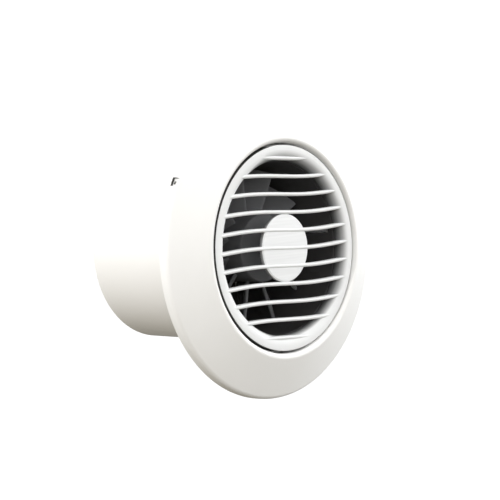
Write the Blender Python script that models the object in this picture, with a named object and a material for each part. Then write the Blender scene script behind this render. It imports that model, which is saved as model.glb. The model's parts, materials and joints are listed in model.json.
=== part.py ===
"""Round axial extractor fan for a 100 mm wall duct.

X runs to the right, +Y into the wall and Z up. The origin is the centre of the wall
plane: the room side is -Y and the duct spigot runs along +Y. Angles around the fan are
seen from the room, counter-clockwise from +X.
"""

import math

import bmesh
import bpy
from mathutils import Matrix, Vector

MM = 0.001
GAP = 0.3 * MM

# Front cover: a shallow cone with a rounded rim and a rounded lip around the grille.
COVER_RADIUS = 80 * MM
COVER_WALL = 2.2 * MM
RIM_ROUND = 3.5 * MM
RIM_ROUND_Y = -2.72 * MM
CONE_ANGLE = math.atan(0.5)
LIP_ROUND = 2.3 * MM
LIP_CENTRE_RADIUS = 57.8 * MM
LIP_CENTRE_Y = -13.41 * MM
COLLAR_THICKNESS = 1.5 * MM
COLLAR_END_Y = -4.5 * MM
PEG_RADIUS = 1.8 * MM
PEG_FRONT_Y = -10.6 * MM
PEG_CIRCLE = 66 * MM
PEG_ANGLES = (90, 210, 330)
NOTCH_ANGLE = 151.1
NOTCH_DEPTH = 1.5 * MM

# Grille: ring, bell mouth and skirt, eleven waved louvres and a centre disc.
GRILLE_FRONT_Y = -14.7 * MM
GRILLE_RADIUS = 54.2 * MM
MOUTH_RADIUS = 51.6 * MM
THROAT_RADIUS = 46.2 * MM
THROAT_Y = -10.2 * MM
SKIRT_END_Y = -8.8 * MM
GRILLE_WALL = 1.5 * MM
LOUVRES = 11
LOUVRE_PITCH = 9.46 * MM
LOUVRE_THICKNESS = 2.0 * MM
LOUVRE_FRONT_Y = -14.6 * MM
LOUVRE_DEPTH = 4.0 * MM
WAVE_HEIGHT = 0.96 * MM
WAVE_LENGTH = 98.2 * MM
TAPER_LENGTH = 9 * MM
TAPER_TIP = 0.3
DISC_RADIUS = 18 * MM
DISC_FRONT_Y = -14.05 * MM
DISC_THICKNESS = 2.4 * MM

# Housing: wall flange and duct spigot in one moulding.
SPIGOT_ROOT_RADIUS = 50.4 * MM
SPIGOT_END_RADIUS = 49.1 * MM
SPIGOT_BORE = 47.7 * MM
SPIGOT_LENGTH = 82 * MM
FLANGE_RADIUS = 72 * MM
FLANGE_THICKNESS = 2.5 * MM
FLANGE_RIM_Y = -5.5 * MM
FIXING_CIRCLE = 66 * MM
FIXING_RADIUS = 2.25 * MM
FIXING_ANGLES = (45, 135, 225, 315)
SEAL_INNER = 52.3 * MM
SEAL_OUTER = 57.3 * MM
SEAL_DEPTH = 1.2 * MM
WINDOW_ANGLES = (132, 312)
WINDOW_HALF_ANGLE = 5.2
WINDOW_START = 22 * MM
WINDOW_END = 34 * MM

# Cable entry and terminals, on the room side of the flange.
CABLE_ANGLE = 35
CABLE_CIRCLE = 63.4 * MM
CABLE_HOLE = 5.3 * MM
CLAMP_ANGLE = 20
CLAMP_CIRCLE = 63 * MM
CLAMP_SPAN = 3.8 * MM
TERMINAL_INNER = 58.3 * MM
TERMINAL_OUTER = 65.3 * MM
TERMINAL_HALF_WIDTH = 10.8 * MM
TERMINAL_FRONT_Y = -8.7 * MM

# Motor carrier: a dark sleeve in the spigot with vanes that hold the motor.
SLEEVE_INNER = 46 * MM
SLEEVE_OUTER = 47.4 * MM
SLEEVE_FRONT = -8.5 * MM
SLEEVE_END = 60 * MM
LIP_RADIUS = 51.5 * MM
VANES = 5
VANE_ANGLE = 5
VANE_THICKNESS = 2 * MM
VANE_START = 33 * MM
VANE_END = 43 * MM
PLATE_START = 40.1 * MM
PLATE_END = 42.3 * MM
PLATE_RADIUS = 15.4 * MM

# Motor: shaded-pole motor that sits inside the impeller's hub.
MOTOR_RADIUS = 15.6 * MM
MOTOR_BORE = 12.6 * MM
MOTOR_FRONT = 9.6 * MM
CORE_START = 18 * MM
CORE_END = 30 * MM
MOTOR_BACK = CORE_START + CORE_END - MOTOR_FRONT
ROTOR_RADIUS = 8.2 * MM
POLE_RADIUS = 8.6 * MM
SHAFT_RADIUS = 1.5 * MM
BEARING_RADIUS = 4 * MM
BEARING_LENGTH = 2.8 * MM
BOSS_RADIUS = 5.4 * MM
TIE_CIRCLE = 14.1 * MM
TIE_ANGLES = (45, 225)
MOUNT_CIRCLE = 9 * MM
MOUNT_ANGLES = (90, 210, 330)

# Impeller: eleven blades on a deep cup hub; it turns clockwise seen from the room.
HUB_RADIUS = 18.1 * MM
HUB_WALL = 1.4 * MM
HUB_FRONT = 1.5 * MM
HUB_BACK = 31 * MM
BLADES = 11
BLADE_TIP = 43.6 * MM
BLADE_FRONT = 11 * MM
BLADE_FIRST_ANGLE = 29.1
BLADE_SWEEP = 24
BLADE_PITCH_ROOT = 48
BLADE_PITCH_TIP = 42
BLADE_THICKNESS = 2.0 * MM

# Backdraught shutter: two half-round flaps on one upright pin.
SHUTTER_START = 61 * MM
SHUTTER_END = 69 * MM
PIN_Y = 65.5 * MM
PIN_RADIUS = 1.0 * MM
FLAP_RADIUS = 45 * MM
FLAP_THICKNESS = 1.0 * MM
FLAP_EDGE = 3.2 * MM
KNUCKLE_RADIUS = 2.1 * MM
KNUCKLE_LENGTH = 8 * MM

TURNS = 40
MEDIUM_TURNS = 20
SMALL_TURNS = 10
# Small round pieces start a little round from their axis line, so that no edge of a
# hole lies exactly along an edge of the piece it is cut in.
PHASE = math.radians(7)


# ---------------------------------------------------------------- materials


def make_material(name, colour, roughness, metallic=0.0):
    """A plain Principled material."""
    material = bpy.data.materials.new(name)
    material.use_nodes = True
    shader = material.node_tree.nodes["Principled BSDF"]
    shader.inputs["Base Color"].default_value = (*colour, 1.0)
    shader.inputs["Roughness"].default_value = roughness
    shader.inputs["Metallic"].default_value = metallic
    return material


# colour, roughness and metallic value of each finish
FINISHES = {
    "white_plastic": ((0.86, 0.85, 0.82), 0.4, 0.0),
    "dark_plastic": ((0.045, 0.045, 0.045), 0.5, 0.0),
    "grey_plastic": ((0.17, 0.175, 0.18), 0.45, 0.0),
    "flap_plastic": ((0.6, 0.6, 0.58), 0.5, 0.0),
    "black_rubber": ((0.025, 0.025, 0.025), 0.8, 0.0),
    "seal_foam": ((0.08, 0.08, 0.085), 0.95, 0.0),
    "steel": ((0.6, 0.6, 0.6), 0.3, 1.0),
    "zinc": ((0.55, 0.56, 0.58), 0.35, 1.0),
    "brass": ((0.72, 0.55, 0.28), 0.35, 1.0),
    "lamination": ((0.22, 0.22, 0.23), 0.45, 0.9),
    "copper_wire": ((0.62, 0.24, 0.11), 0.35, 0.9),
    "grey_wire": ((0.35, 0.35, 0.36), 0.55, 0.0),
}


# ---------------------------------------------------------------- mesh helpers


def radial_frame(angle, radius=0.0, y=0.0):
    """Local X points outwards at this angle, Y along the fan and Z around it."""
    turn = math.radians(angle)
    out = Vector((math.cos(turn), 0, math.sin(turn)))
    around = Vector((-math.sin(turn), 0, math.cos(turn)))
    along = Vector((0, 1, 0))
    place = Matrix((out, along, around)).transposed().to_4x4()
    place.translation = out * radius + along * y
    return place


def object_from(name, bm, finish=None, smooth_angle=35):
    """Turns a bmesh into an object with outward faces, smooth where it is round."""
    bmesh.ops.remove_doubles(bm, verts=bm.verts, dist=1e-7)
    bmesh.ops.recalc_face_normals(bm, faces=bm.faces)
    mesh = bpy.data.meshes.new(name)
    bm.to_mesh(mesh)
    bm.free()
    obj = bpy.data.objects.new(name, mesh)
    bpy.context.scene.collection.objects.link(obj)
    if finish:
        mesh.materials.append(bpy.data.materials[finish])
    mesh.shade_smooth()
    mesh.set_sharp_from_angle(angle=math.radians(smooth_angle))
    return obj


def turned(name, profile, finish=None, segments=TURNS, place=None):
    """A profile of (radius, y) points turned round the Y axis, then placed."""
    bm = bmesh.new()
    verts = [bm.verts.new((radius, y, 0)) for radius, y in profile]
    edges = [bm.edges.new(pair) for pair in zip(verts, verts[1:])]
    if profile[0][0] > 0:
        edges.append(bm.edges.new((verts[-1], verts[0])))
    bmesh.ops.spin(
        bm, geom=verts + edges, cent=(0, 0, 0), axis=(0, 1, 0),
        angle=math.tau, steps=segments, use_merge=True,
    )
    if place:
        bm.transform(place @ Matrix.Rotation(PHASE, 4, "Y"))
    return object_from(name, bm, finish)


def cylinder(name, radius, start, end, finish=None, segments=SMALL_TURNS, place=None):
    """A solid rod along Y."""
    return turned(name, [(0, start), (radius, start), (radius, end), (0, end)], finish, segments, place)


def tube(name, inner, outer, start, end, finish=None, segments=SMALL_TURNS, place=None):
    """A ring or sleeve along Y."""
    profile = [(inner, start), (outer, start), (outer, end), (inner, end)]
    return turned(name, profile, finish, segments, place)


def block(name, low, high, finish=None, place=None, bevel=0.0):
    """A box between two corners in the local frame of place."""
    bm = bmesh.new()
    bmesh.ops.create_cube(bm, size=1)
    size = Vector(high) - Vector(low)
    middle = (Vector(high) + Vector(low)) / 2
    bm.transform(Matrix.Translation(middle) @ Matrix.Diagonal((*size, 1)))
    if bevel:
        bmesh.ops.bevel(bm, geom=bm.edges[:], offset=bevel, segments=1, affect="EDGES")
    if place:
        bm.transform(place)
    return object_from(name, bm, finish)


def sector(name, inner, outer, start, end, from_angle, to_angle, finish=None, steps=6):
    """A piece of a ring between two angles."""
    bm = bmesh.new()
    rows = []
    for step in range(steps + 1):
        turn = math.radians(from_angle + (to_angle - from_angle) * step / steps)
        out = Vector((math.cos(turn), 0, math.sin(turn)))
        corners = ((inner, start), (outer, start), (outer, end), (inner, end))
        rows.append([bm.verts.new(out * radius + Vector((0, y, 0))) for radius, y in corners])
    skin_rows(bm, rows)
    return object_from(name, bm, finish)


def plank(name, outline, half, place, finish=None):
    """A flat piece of an outline in (radius, y), half a thickness to each side."""
    bm = bmesh.new()
    rows = [[bm.verts.new(place @ Vector((radius, y, z))) for radius, y in outline] for z in (-half, half)]
    skin_rows(bm, rows)
    return object_from(name, bm, finish)


def skin_rows(bm, rows):
    """Joins rows of points into a closed tube and caps both ends."""
    count = len(rows[0])
    for row, following in zip(rows, rows[1:]):
        for i in range(count):
            j = (i + 1) % count
            bm.faces.new((row[i], row[j], following[j], following[i]))
    bm.faces.new(rows[0])
    bm.faces.new(rows[-1])


def combine(target, tools, operation):
    """Adds, cuts or intersects target with separate tools in one go, and deletes them."""
    bm = bmesh.new()
    for tool in tools:
        bm.from_mesh(tool.data)
        bpy.data.objects.remove(tool)
    joined = object_from("tools", bm)
    modifier = target.modifiers.new(operation.lower(), "BOOLEAN")
    modifier.object = joined
    modifier.operation = operation
    triangles = target.modifiers.new("triangles", "TRIANGULATE")
    triangles.min_vertices = 5
    depsgraph = bpy.context.evaluated_depsgraph_get()
    mesh = bpy.data.meshes.new_from_object(target.evaluated_get(depsgraph))
    target.modifiers.clear()
    before = target.data
    target.data = mesh
    bpy.data.meshes.remove(before)
    bpy.data.objects.remove(joined)
    return target


def add(target, *tools):
    return combine(target, tools, "UNION")


def cut(target, *tools):
    return combine(target, tools, "DIFFERENCE")


def arc(centre, radius, from_angle, to_angle, steps):
    """Points on an arc in the (radius, y) plane; 0 degrees points outwards, 90 to the room."""
    points = []
    for step in range(steps + 1):
        turn = math.radians(from_angle + (to_angle - from_angle) * step / steps)
        points.append((centre[0] + radius * math.cos(turn), centre[1] - radius * math.sin(turn)))
    return points


def slotted_screw(name, place, head_y, head_radius, head_height, shank_radius, shank_end, finish):
    """A pan-head screw along Y with a driver slot in the head on its -Y side."""
    profile = [
        (0, head_y), (head_radius * 0.75, head_y), (head_radius, head_y + head_height * 0.45),
        (head_radius, head_y + head_height), (shank_radius, head_y + head_height),
        (shank_radius, shank_end - shank_radius), (0, shank_end),
    ]
    screw = turned(name, profile, finish, SMALL_TURNS, place)
    half = head_radius * 0.16
    slot = block(
        "slot", (-head_radius * 1.2, head_y - MM, -half),
        (head_radius * 1.2, head_y + head_height * 0.5, half), place=place,
    )
    return cut(screw, slot)


# ---------------------------------------------------------------- front cover and grille


def make_front_cover():
    """Rim, cone, lip and collar, with three pegs behind and a pry notch in the rim."""
    slope = math.degrees(math.pi / 2 - CONE_ANGLE)
    rim = (COVER_RADIUS - RIM_ROUND, RIM_ROUND_Y)
    lip = (LIP_CENTRE_RADIUS, LIP_CENTRE_Y)
    collar = LIP_CENTRE_RADIUS - LIP_ROUND
    inner_round = RIM_ROUND - COVER_WALL
    profile = [(COVER_RADIUS, 0)]
    profile += arc(rim, RIM_ROUND, 0, slope, 3)
    profile += arc(lip, LIP_ROUND, slope, 180, 4)
    profile += [(collar, COLLAR_END_Y), (collar + COLLAR_THICKNESS, COLLAR_END_Y)]
    profile += [(collar + COLLAR_THICKNESS, LIP_CENTRE_Y + 0.2 * MM)]
    profile += arc(rim, inner_round, slope, 0, 1)
    profile += [(COVER_RADIUS - COVER_WALL, 0)]
    cover = turned("front_cover", profile, "white_plastic")
    pegs = [
        cylinder("peg", PEG_RADIUS, PEG_FRONT_Y, -0.8 * MM, place=radial_frame(angle, PEG_CIRCLE))
        for angle in PEG_ANGLES
    ]
    add(cover, *pegs)
    place = radial_frame(NOTCH_ANGLE)
    floor = COVER_RADIUS - NOTCH_DEPTH
    notch = block("notch", (floor, -6.2 * MM, -2.4 * MM), (COVER_RADIUS + MM, -1.9 * MM, 2.4 * MM), place=place)
    slot = block("slot", (74 * MM, -3.9 * MM, -0.7 * MM), (floor + MM, -2.4 * MM, 0.9 * MM), place=place)
    return cut(cover, add(notch, slot))


def mouth_points(steps, outwards=0.0):
    """The bell mouth from the ring's face in to the throat; outwards gives its back."""
    wide = MOUTH_RADIUS - THROAT_RADIUS - outwards
    deep = THROAT_Y - GRILLE_FRONT_Y - outwards
    points = []
    for step in range(steps + 1):
        turn = math.pi / 2 * step / steps
        points.append((MOUTH_RADIUS - wide * math.sin(turn), THROAT_Y - deep * math.cos(turn)))
    return points


def louvre_height(row, x):
    """Height of a louvre's centre line: level, with one full wave across the grille."""
    return row * LOUVRE_PITCH - WAVE_HEIGHT * math.sin(math.tau * x / WAVE_LENGTH)


def make_louvre(row, stations=8):
    """One louvre as a waved strip, thinning to its +X end."""
    reach = math.sqrt(max(MOUTH_RADIUS**2 - (row * LOUVRE_PITCH) ** 2, 0)) + 1 * MM
    bm = bmesh.new()
    rows = []
    for step in range(stations + 1):
        x = -reach + 2 * reach * step / stations
        left = min(max((reach - x) / TAPER_LENGTH, 0), 1)
        half = LOUVRE_THICKNESS / 2 * (TAPER_TIP + (1 - TAPER_TIP) * math.sin(left * math.pi / 2))
        height = louvre_height(row, x)
        back = LOUVRE_FRONT_Y + LOUVRE_DEPTH
        section = ((back, -half), (LOUVRE_FRONT_Y, -half), (LOUVRE_FRONT_Y, half), (back, half))
        rows.append([bm.verts.new((x, y, height + z)) for y, z in section])
    skin_rows(bm, rows)
    return object_from("louvre", bm)


def make_grille():
    front = [(GRILLE_RADIUS, GRILLE_FRONT_Y + 0.6 * MM), (GRILLE_RADIUS - 0.6 * MM, GRILLE_FRONT_Y)]
    profile = front + mouth_points(3) + [(THROAT_RADIUS, SKIRT_END_Y)]
    profile += [(THROAT_RADIUS + GRILLE_WALL, SKIRT_END_Y)]
    profile += reversed(mouth_points(2, GRILLE_WALL))
    outer_wall = GRILLE_RADIUS - GRILLE_WALL
    profile += [(outer_wall, GRILLE_FRONT_Y + GRILLE_WALL), (outer_wall, -8 * MM), (GRILLE_RADIUS, -8 * MM)]
    grille = turned("grille_insert", profile, "white_plastic")
    core_profile = [(0, GRILLE_FRONT_Y - MM), (MOUTH_RADIUS - MM, GRILLE_FRONT_Y - MM)]
    core_profile += mouth_points(3, GRILLE_WALL / 2) + [(0, THROAT_Y)]
    louvres = [make_louvre(row) for row in range(-(LOUVRES // 2), LOUVRES // 2 + 1)]
    combine(louvres[0], louvres[1:], "UNION")
    add(grille, combine(louvres[0], [turned("core", core_profile)], "INTERSECT"))
    disc_back = DISC_FRONT_Y + DISC_THICKNESS
    disc_profile = [(0, DISC_FRONT_Y), (DISC_RADIUS - 0.4 * MM, DISC_FRONT_Y)]
    disc_profile += [(DISC_RADIUS, DISC_FRONT_Y + 0.4 * MM), (DISC_RADIUS, disc_back), (0, disc_back)]
    return add(grille, turned("disc", disc_profile, segments=24))


# ---------------------------------------------------------------- housing and carrier


def make_housing():
    profile = [
        (SPIGOT_ROOT_RADIUS, 0), (SEAL_INNER - GAP, 0), (SEAL_INNER - GAP, -SEAL_DEPTH - GAP),
        (SEAL_OUTER + GAP, -SEAL_DEPTH - GAP), (SEAL_OUTER + GAP, 0), (FLANGE_RADIUS, 0),
        (FLANGE_RADIUS, FLANGE_RIM_Y), (FLANGE_RADIUS - 1.6 * MM, FLANGE_RIM_Y),
        (FLANGE_RADIUS - 1.6 * MM, -FLANGE_THICKNESS), (SPIGOT_BORE + 1.2 * MM, -FLANGE_THICKNESS),
        (SPIGOT_BORE, -FLANGE_THICKNESS + 1.2 * MM), (SPIGOT_BORE, SPIGOT_LENGTH),
        (SPIGOT_END_RADIUS, SPIGOT_LENGTH),
    ]
    housing = turned("fan_housing", profile, "white_plastic")
    bosses, holes = [], []
    for angle in PEG_ANGLES:
        place = radial_frame(angle, PEG_CIRCLE)
        bosses.append(cylinder("boss", PEG_RADIUS + 1.7 * MM, -6 * MM, -1 * MM, place=place))
        holes.append(cylinder("socket", PEG_RADIUS + GAP, -8 * MM, 1 * MM, place=place))
    for side in (-1, 1):
        place = radial_frame(CLAMP_ANGLE, CLAMP_CIRCLE + side * CLAMP_SPAN)
        bosses.append(cylinder("post", 1.8 * MM, -4.4 * MM, -1 * MM, place=place))
        holes.append(cylinder("pilot", 1.1 * MM, -5 * MM, -1 * MM, place=place))
    for angle in FIXING_ANGLES:
        place = radial_frame(angle, FIXING_CIRCLE)
        holes.append(cylinder("fixing", FIXING_RADIUS, -8 * MM, 1 * MM, place=place))
    place = radial_frame(CABLE_ANGLE, CABLE_CIRCLE)
    holes.append(cylinder("entry", CABLE_HOLE, -8 * MM, 1 * MM, segments=20, place=place))
    for angle in WINDOW_ANGLES:
        low, high = angle - WINDOW_HALF_ANGLE, angle + WINDOW_HALF_ANGLE
        holes.append(sector("window", 46 * MM, 52 * MM, WINDOW_START, WINDOW_END, low, high))
    return cut(add(housing, *bosses), *holes)


def make_wall_seal():
    return tube("wall_seal", SEAL_INNER, SEAL_OUTER, -SEAL_DEPTH, -0.05 * MM, "seal_foam", TURNS)


def make_motor_carrier():
    lip_front = -4.0 * MM
    lip_back = -FLANGE_THICKNESS - GAP
    profile = [
        (SLEEVE_INNER, SLEEVE_FRONT), (SLEEVE_OUTER, SLEEVE_FRONT), (SLEEVE_OUTER, lip_front),
        (LIP_RADIUS, lip_front), (LIP_RADIUS, lip_back), (SLEEVE_OUTER, lip_back),
        (SLEEVE_OUTER, SLEEVE_END), (SLEEVE_INNER, SLEEVE_END),
    ]
    carrier = turned("motor_carrier", profile, "dark_plastic")
    plate = tube("plate", 6.6 * MM, PLATE_RADIUS, PLATE_START, PLATE_END, segments=MEDIUM_TURNS)
    root, shoulder, tip = PLATE_RADIUS - 3 * MM, PLATE_RADIUS + 2 * MM, SLEEVE_INNER + 0.7 * MM
    vane_outline = (
        (root, PLATE_START + GAP), (shoulder, PLATE_START + GAP), (shoulder, VANE_START), (tip, VANE_START),
        (tip, VANE_END), (root, VANE_END),
    )
    vanes = [
        plank("vane", vane_outline, VANE_THICKNESS / 2, radial_frame(VANE_ANGLE + number * 360 / VANES))
        for number in range(VANES)
    ]
    hooks = [make_snap_hook(angle) for angle in WINDOW_ANGLES]
    add(carrier, add(plate, *vanes), *hooks)
    holes = [
        cylinder("hole", 1.5 * MM, PLATE_START - MM, PLATE_END + MM, place=radial_frame(angle, MOUNT_CIRCLE))
        for angle in MOUNT_ANGLES
    ]
    slot = block(
        "slot", (SLEEVE_INNER - 0.5 * MM, -5 * MM, -1.1 * MM), (LIP_RADIUS + MM, 38 * MM, 1.1 * MM),
        place=lead_frame(),
    )
    return cut(carrier, slot, *holes)


def make_snap_hook(angle):
    """A ramped catch on the sleeve that springs out into a window of the spigot."""
    outline = ((47 * MM, 24 * MM), (49.3 * MM, 26 * MM), (49.3 * MM, 27.2 * MM), (47 * MM, 31.5 * MM))
    return plank("hook", outline, 1.6 * MM, radial_frame(angle))


# ---------------------------------------------------------------- motor


def make_shield(name, mirrored):
    """One end shield: a cup with a bearing seat; the rear one is the front one mirrored."""
    middle = (CORE_START + CORE_END) / 2
    seat = BEARING_RADIUS + GAP
    face = MOTOR_FRONT
    profile = [
        (2.4 * MM, face - 1.6 * MM), (BOSS_RADIUS, face - 1.6 * MM), (BOSS_RADIUS, face),
        (MOTOR_RADIUS - MM, face),
        (MOTOR_RADIUS, face + MM), (MOTOR_RADIUS, CORE_START - GAP), (MOTOR_BORE, CORE_START - GAP),
        (MOTOR_BORE, face + 1.8 * MM), (seat, face + 1.8 * MM), (seat, face - 0.5 * MM),
        (2.4 * MM, face - 0.5 * MM),
    ]
    if mirrored:
        profile = [(radius, 2 * middle - y) for radius, y in profile]
    shield = turned(name, profile, "zinc", MEDIUM_TURNS)
    start, end = (CORE_END - MM, 35.5 * MM) if mirrored else (5 * MM, CORE_START)
    holes = [
        cylinder("hole", 1.3 * MM, start, end, place=radial_frame(angle, TIE_CIRCLE)) for angle in TIE_ANGLES
    ]
    if mirrored:
        for angle in MOUNT_ANGLES:
            place = radial_frame(angle, MOUNT_CIRCLE)
            holes.append(cylinder("hole", 1.5 * MM, 34 * MM, 41 * MM, place=place))
    return cut(shield, *holes)


def make_stator_core():
    core = tube("stator_core", MOTOR_BORE, MOTOR_RADIUS, CORE_START, CORE_END, "lamination", MEDIUM_TURNS)
    shoe_back = POLE_RADIUS + 0.9 * MM
    for angle in range(0, 360, 90):
        neck = block(
            "neck", (POLE_RADIUS + 0.4 * MM, CORE_START + 0.1 * MM, -1.7 * MM),
            (MOTOR_BORE + MM, CORE_END - 0.1 * MM, 1.7 * MM), place=radial_frame(angle),
        )
        shoe = sector("shoe", POLE_RADIUS, shoe_back, CORE_START, CORE_END, angle - 32, angle + 32)
        add(core, add(shoe, neck))
    holes = [
        cylinder("hole", 1.3 * MM, CORE_START - MM, CORE_END + MM, place=radial_frame(angle, TIE_CIRCLE))
        for angle in TIE_ANGLES
    ]
    return cut(core, *holes)


def make_coil(number):
    """One winding round a pole: a rectangular ring with its long side along the motor."""
    place = radial_frame(number * 90)
    low, high = 9.8 * MM, 11.6 * MM
    coil = block(
        f"stator_coil_{number + 1}", (low, CORE_START - 2.2 * MM, -3.9 * MM),
        (high, CORE_END + 2.2 * MM, 3.9 * MM), "copper_wire", place, bevel=0.5 * MM,
    )
    window = block(
        "window", (low - MM, CORE_START - GAP, -1.7 * MM - GAP),
        (high + MM, CORE_END + GAP, 1.7 * MM + GAP), place=place,
    )
    return cut(coil, window)


def make_motor():
    shields = [make_shield("motor_front_shield", False), make_shield("motor_rear_shield", True)]
    pieces = shields + [make_stator_core()] + [make_coil(number) for number in range(4)]
    middle = (CORE_START + CORE_END) / 2
    front_seat = MOTOR_FRONT - 0.2 * MM
    bore = SHAFT_RADIUS + GAP / 3
    rear_seat = 2 * middle - front_seat - BEARING_LENGTH
    for name, start in (("front_bearing", front_seat), ("rear_bearing", rear_seat)):
        pieces.append(tube(name, bore, BEARING_RADIUS, start, start + BEARING_LENGTH, "steel", 16))
    for number, angle in enumerate(TIE_ANGLES, 1):
        place = radial_frame(angle, TIE_CIRCLE)
        name = f"tie_bolt_{number}"
        pieces.append(slotted_screw(name, place, 8 * MM, 1.8 * MM, 1.3 * MM, 1 * MM, 35 * MM, "steel"))
    for number, angle in enumerate(MOUNT_ANGLES, 1):
        place = radial_frame(angle, MOUNT_CIRCLE)
        bush = tube(
            f"rubber_bush_{number}", 1.6 * MM, 3.2 * MM, MOTOR_BACK + GAP, PLATE_START - GAP, "black_rubber",
            place=place,
        )
        pieces += [bush, make_motor_screw(number, angle)]
    return pieces


def make_motor_screw(number, angle):
    """Fixes the carrier's plate to the motor from behind, so its head is on the +Y side."""
    place = radial_frame(angle, MOUNT_CIRCLE, PLATE_END + GAP) @ Matrix.Rotation(math.pi, 4, "X")
    name = f"motor_screw_{number}"
    return slotted_screw(name, place, -1.5 * MM, 2.3 * MM, 1.5 * MM, 1.2 * MM, 6 * MM, "steel")


# ---------------------------------------------------------------- rotor and impeller


def make_blade(number):
    """One blade: its leading edge at the front, turned back along the fan as it goes round."""
    first = math.radians(BLADE_FIRST_ANGLE + number * 360 / BLADES)
    radii = [HUB_RADIUS - 0.7 * MM + (BLADE_TIP - HUB_RADIUS + 0.7 * MM) * i / 3 for i in range(4)]
    steps = 3
    bm = bmesh.new()
    rows = []
    for radius in radii:
        share = (radius - radii[0]) / (radii[-1] - radii[0])
        pitch = math.radians(BLADE_PITCH_ROOT + (BLADE_PITCH_TIP - BLADE_PITCH_ROOT) * share)
        upper, lower = [], []
        for step in range(steps + 1):
            sweep = math.radians(BLADE_SWEEP) * step / steps
            half = BLADE_THICKNESS / 2 * (1 - 0.45 * step / steps)
            y = BLADE_FRONT + radius * sweep * math.tan(pitch)
            for side, points in ((1, upper), (-1, lower)):
                turn = first + sweep - side * half * math.sin(pitch) / radius
                depth = y + side * half * math.cos(pitch)
                points.append(bm.verts.new((radius * math.cos(turn), depth, radius * math.sin(turn))))
        rows.append(upper + lower[::-1])
    skin_rows(bm, rows)
    return object_from("blade", bm)


def make_impeller():
    inner = HUB_RADIUS - HUB_WALL
    face_back = HUB_FRONT + 1.5 * MM
    profile = [
        (SHAFT_RADIUS + GAP, HUB_FRONT), (HUB_RADIUS - 1.5 * MM, HUB_FRONT),
        (HUB_RADIUS - 0.45 * MM, HUB_FRONT + 0.45 * MM), (HUB_RADIUS, HUB_FRONT + 1.5 * MM),
        (HUB_RADIUS, HUB_BACK), (inner, HUB_BACK), (inner, face_back), (3.8 * MM, face_back),
        (3.8 * MM, 7.2 * MM), (SHAFT_RADIUS + GAP, 7.2 * MM),
    ]
    impeller = turned("impeller", profile, "grey_plastic", 32)
    return add(impeller, *[make_blade(number) for number in range(BLADES)])


def make_rotor():
    shaft = cylinder("motor_shaft", SHAFT_RADIUS, -2.2 * MM, 38.8 * MM, "steel", 16)
    core = tube(
        "rotor_core", SHAFT_RADIUS + GAP, ROTOR_RADIUS, CORE_START - 0.4 * MM, CORE_END + 0.4 * MM,
        "lamination", MEDIUM_TURNS,
    )
    nut = tube("impeller_nut", SHAFT_RADIUS + GAP, 3.2 * MM, -1.3 * MM, HUB_FRONT - GAP, "steel", 6)
    return [shaft, core, nut]


# ---------------------------------------------------------------- backdraught shutter


def pin_frame(height=0.0):
    """Local Y runs up the shutter's pin."""
    return Matrix.Translation((0, PIN_Y, height)) @ Matrix.Rotation(math.pi / 2, 4, "X")


def make_shutter_frame():
    inner = SLEEVE_INNER - 0.4 * MM
    frame = tube("shutter_frame", inner, SLEEVE_OUTER, SHUTTER_START, SHUTTER_END, "white_plastic", TURNS)
    bar_end = PIN_Y - KNUCKLE_RADIUS - GAP
    bar = block(
        "bar", (-1.5 * MM, SHUTTER_START + 0.2 * MM, -46.2 * MM), (1.5 * MM, bar_end, 46.2 * MM),
    )
    add(frame, bar)
    return cut(frame, cylinder("hole", PIN_RADIUS + GAP, -50 * MM, 50 * MM, place=pin_frame()))


def make_flap(name, side, knuckle_heights):
    """A half-round flap with knuckles on the pin; side is 1 for +X and -1 for -X."""
    front = PIN_Y - FLAP_THICKNESS / 2
    back = PIN_Y + FLAP_THICKNESS / 2
    bm = bmesh.new()
    outline = []
    limit = math.acos(FLAP_EDGE / FLAP_RADIUS)
    steps = 14
    for step in range(steps + 1):
        turn = -limit + 2 * limit * step / steps
        outline.append((side * FLAP_RADIUS * math.cos(turn), FLAP_RADIUS * math.sin(turn)))
    rows = [[bm.verts.new((x, y, z)) for x, z in outline] for y in (front, back)]
    skin_rows(bm, rows)
    flap = object_from(name, bm, "flap_plastic")
    half = KNUCKLE_LENGTH / 2
    near, far = sorted((side * 1.2 * MM, side * (FLAP_EDGE + MM)))
    tabs, knuckles, bores = [], [], []
    for height in knuckle_heights:
        place = pin_frame(height)
        low = (near, front + 0.1 * MM, height - half + 0.2 * MM)
        high = (far, back - 0.1 * MM, height + half - 0.2 * MM)
        tabs.append(block("tab", low, high))
        knuckles.append(cylinder("knuckle", KNUCKLE_RADIUS, -half, half, segments=14, place=place))
        bores.append(cylinder("bore", PIN_RADIUS + GAP, -half - MM, half + MM, place=place))
    return cut(add(add(flap, *tabs), *knuckles), *bores)


def make_shutter_spring():
    """The coil of the light torsion spring on the pin that closes both flaps."""
    turns, wire, radius = 5, 0.3 * MM, 1.75 * MM
    pitch = 0.9 * MM
    per_turn = 10
    curve = bpy.data.curves.new("shutter_spring", "CURVE")
    curve.dimensions = "3D"
    curve.bevel_depth = wire
    curve.bevel_resolution = 0
    curve.use_fill_caps = True
    spline = curve.splines.new("POLY")
    count = turns * per_turn + 1
    spline.points.add(count - 1)
    for index in range(count):
        turn = math.tau * index / per_turn
        height = pitch * (index / per_turn - turns / 2)
        spline.points[index].co = (radius * math.cos(turn), PIN_Y + radius * math.sin(turn), height, 1)
    spring = bpy.data.objects.new("shutter_spring", curve)
    curve.materials.append(bpy.data.materials["steel"])
    bpy.context.scene.collection.objects.link(spring)
    return spring


def make_shutter():
    pin = cylinder("shutter_pin", PIN_RADIUS, -46.6 * MM, 46.6 * MM, "steel", 12, pin_frame())
    right = make_flap("shutter_flap_right", 1, (-30 * MM, 12 * MM))
    left = make_flap("shutter_flap_left", -1, (-12 * MM, 30 * MM))
    return make_shutter_frame(), pin, right, left, make_shutter_spring()


# ---------------------------------------------------------------- wiring


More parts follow.
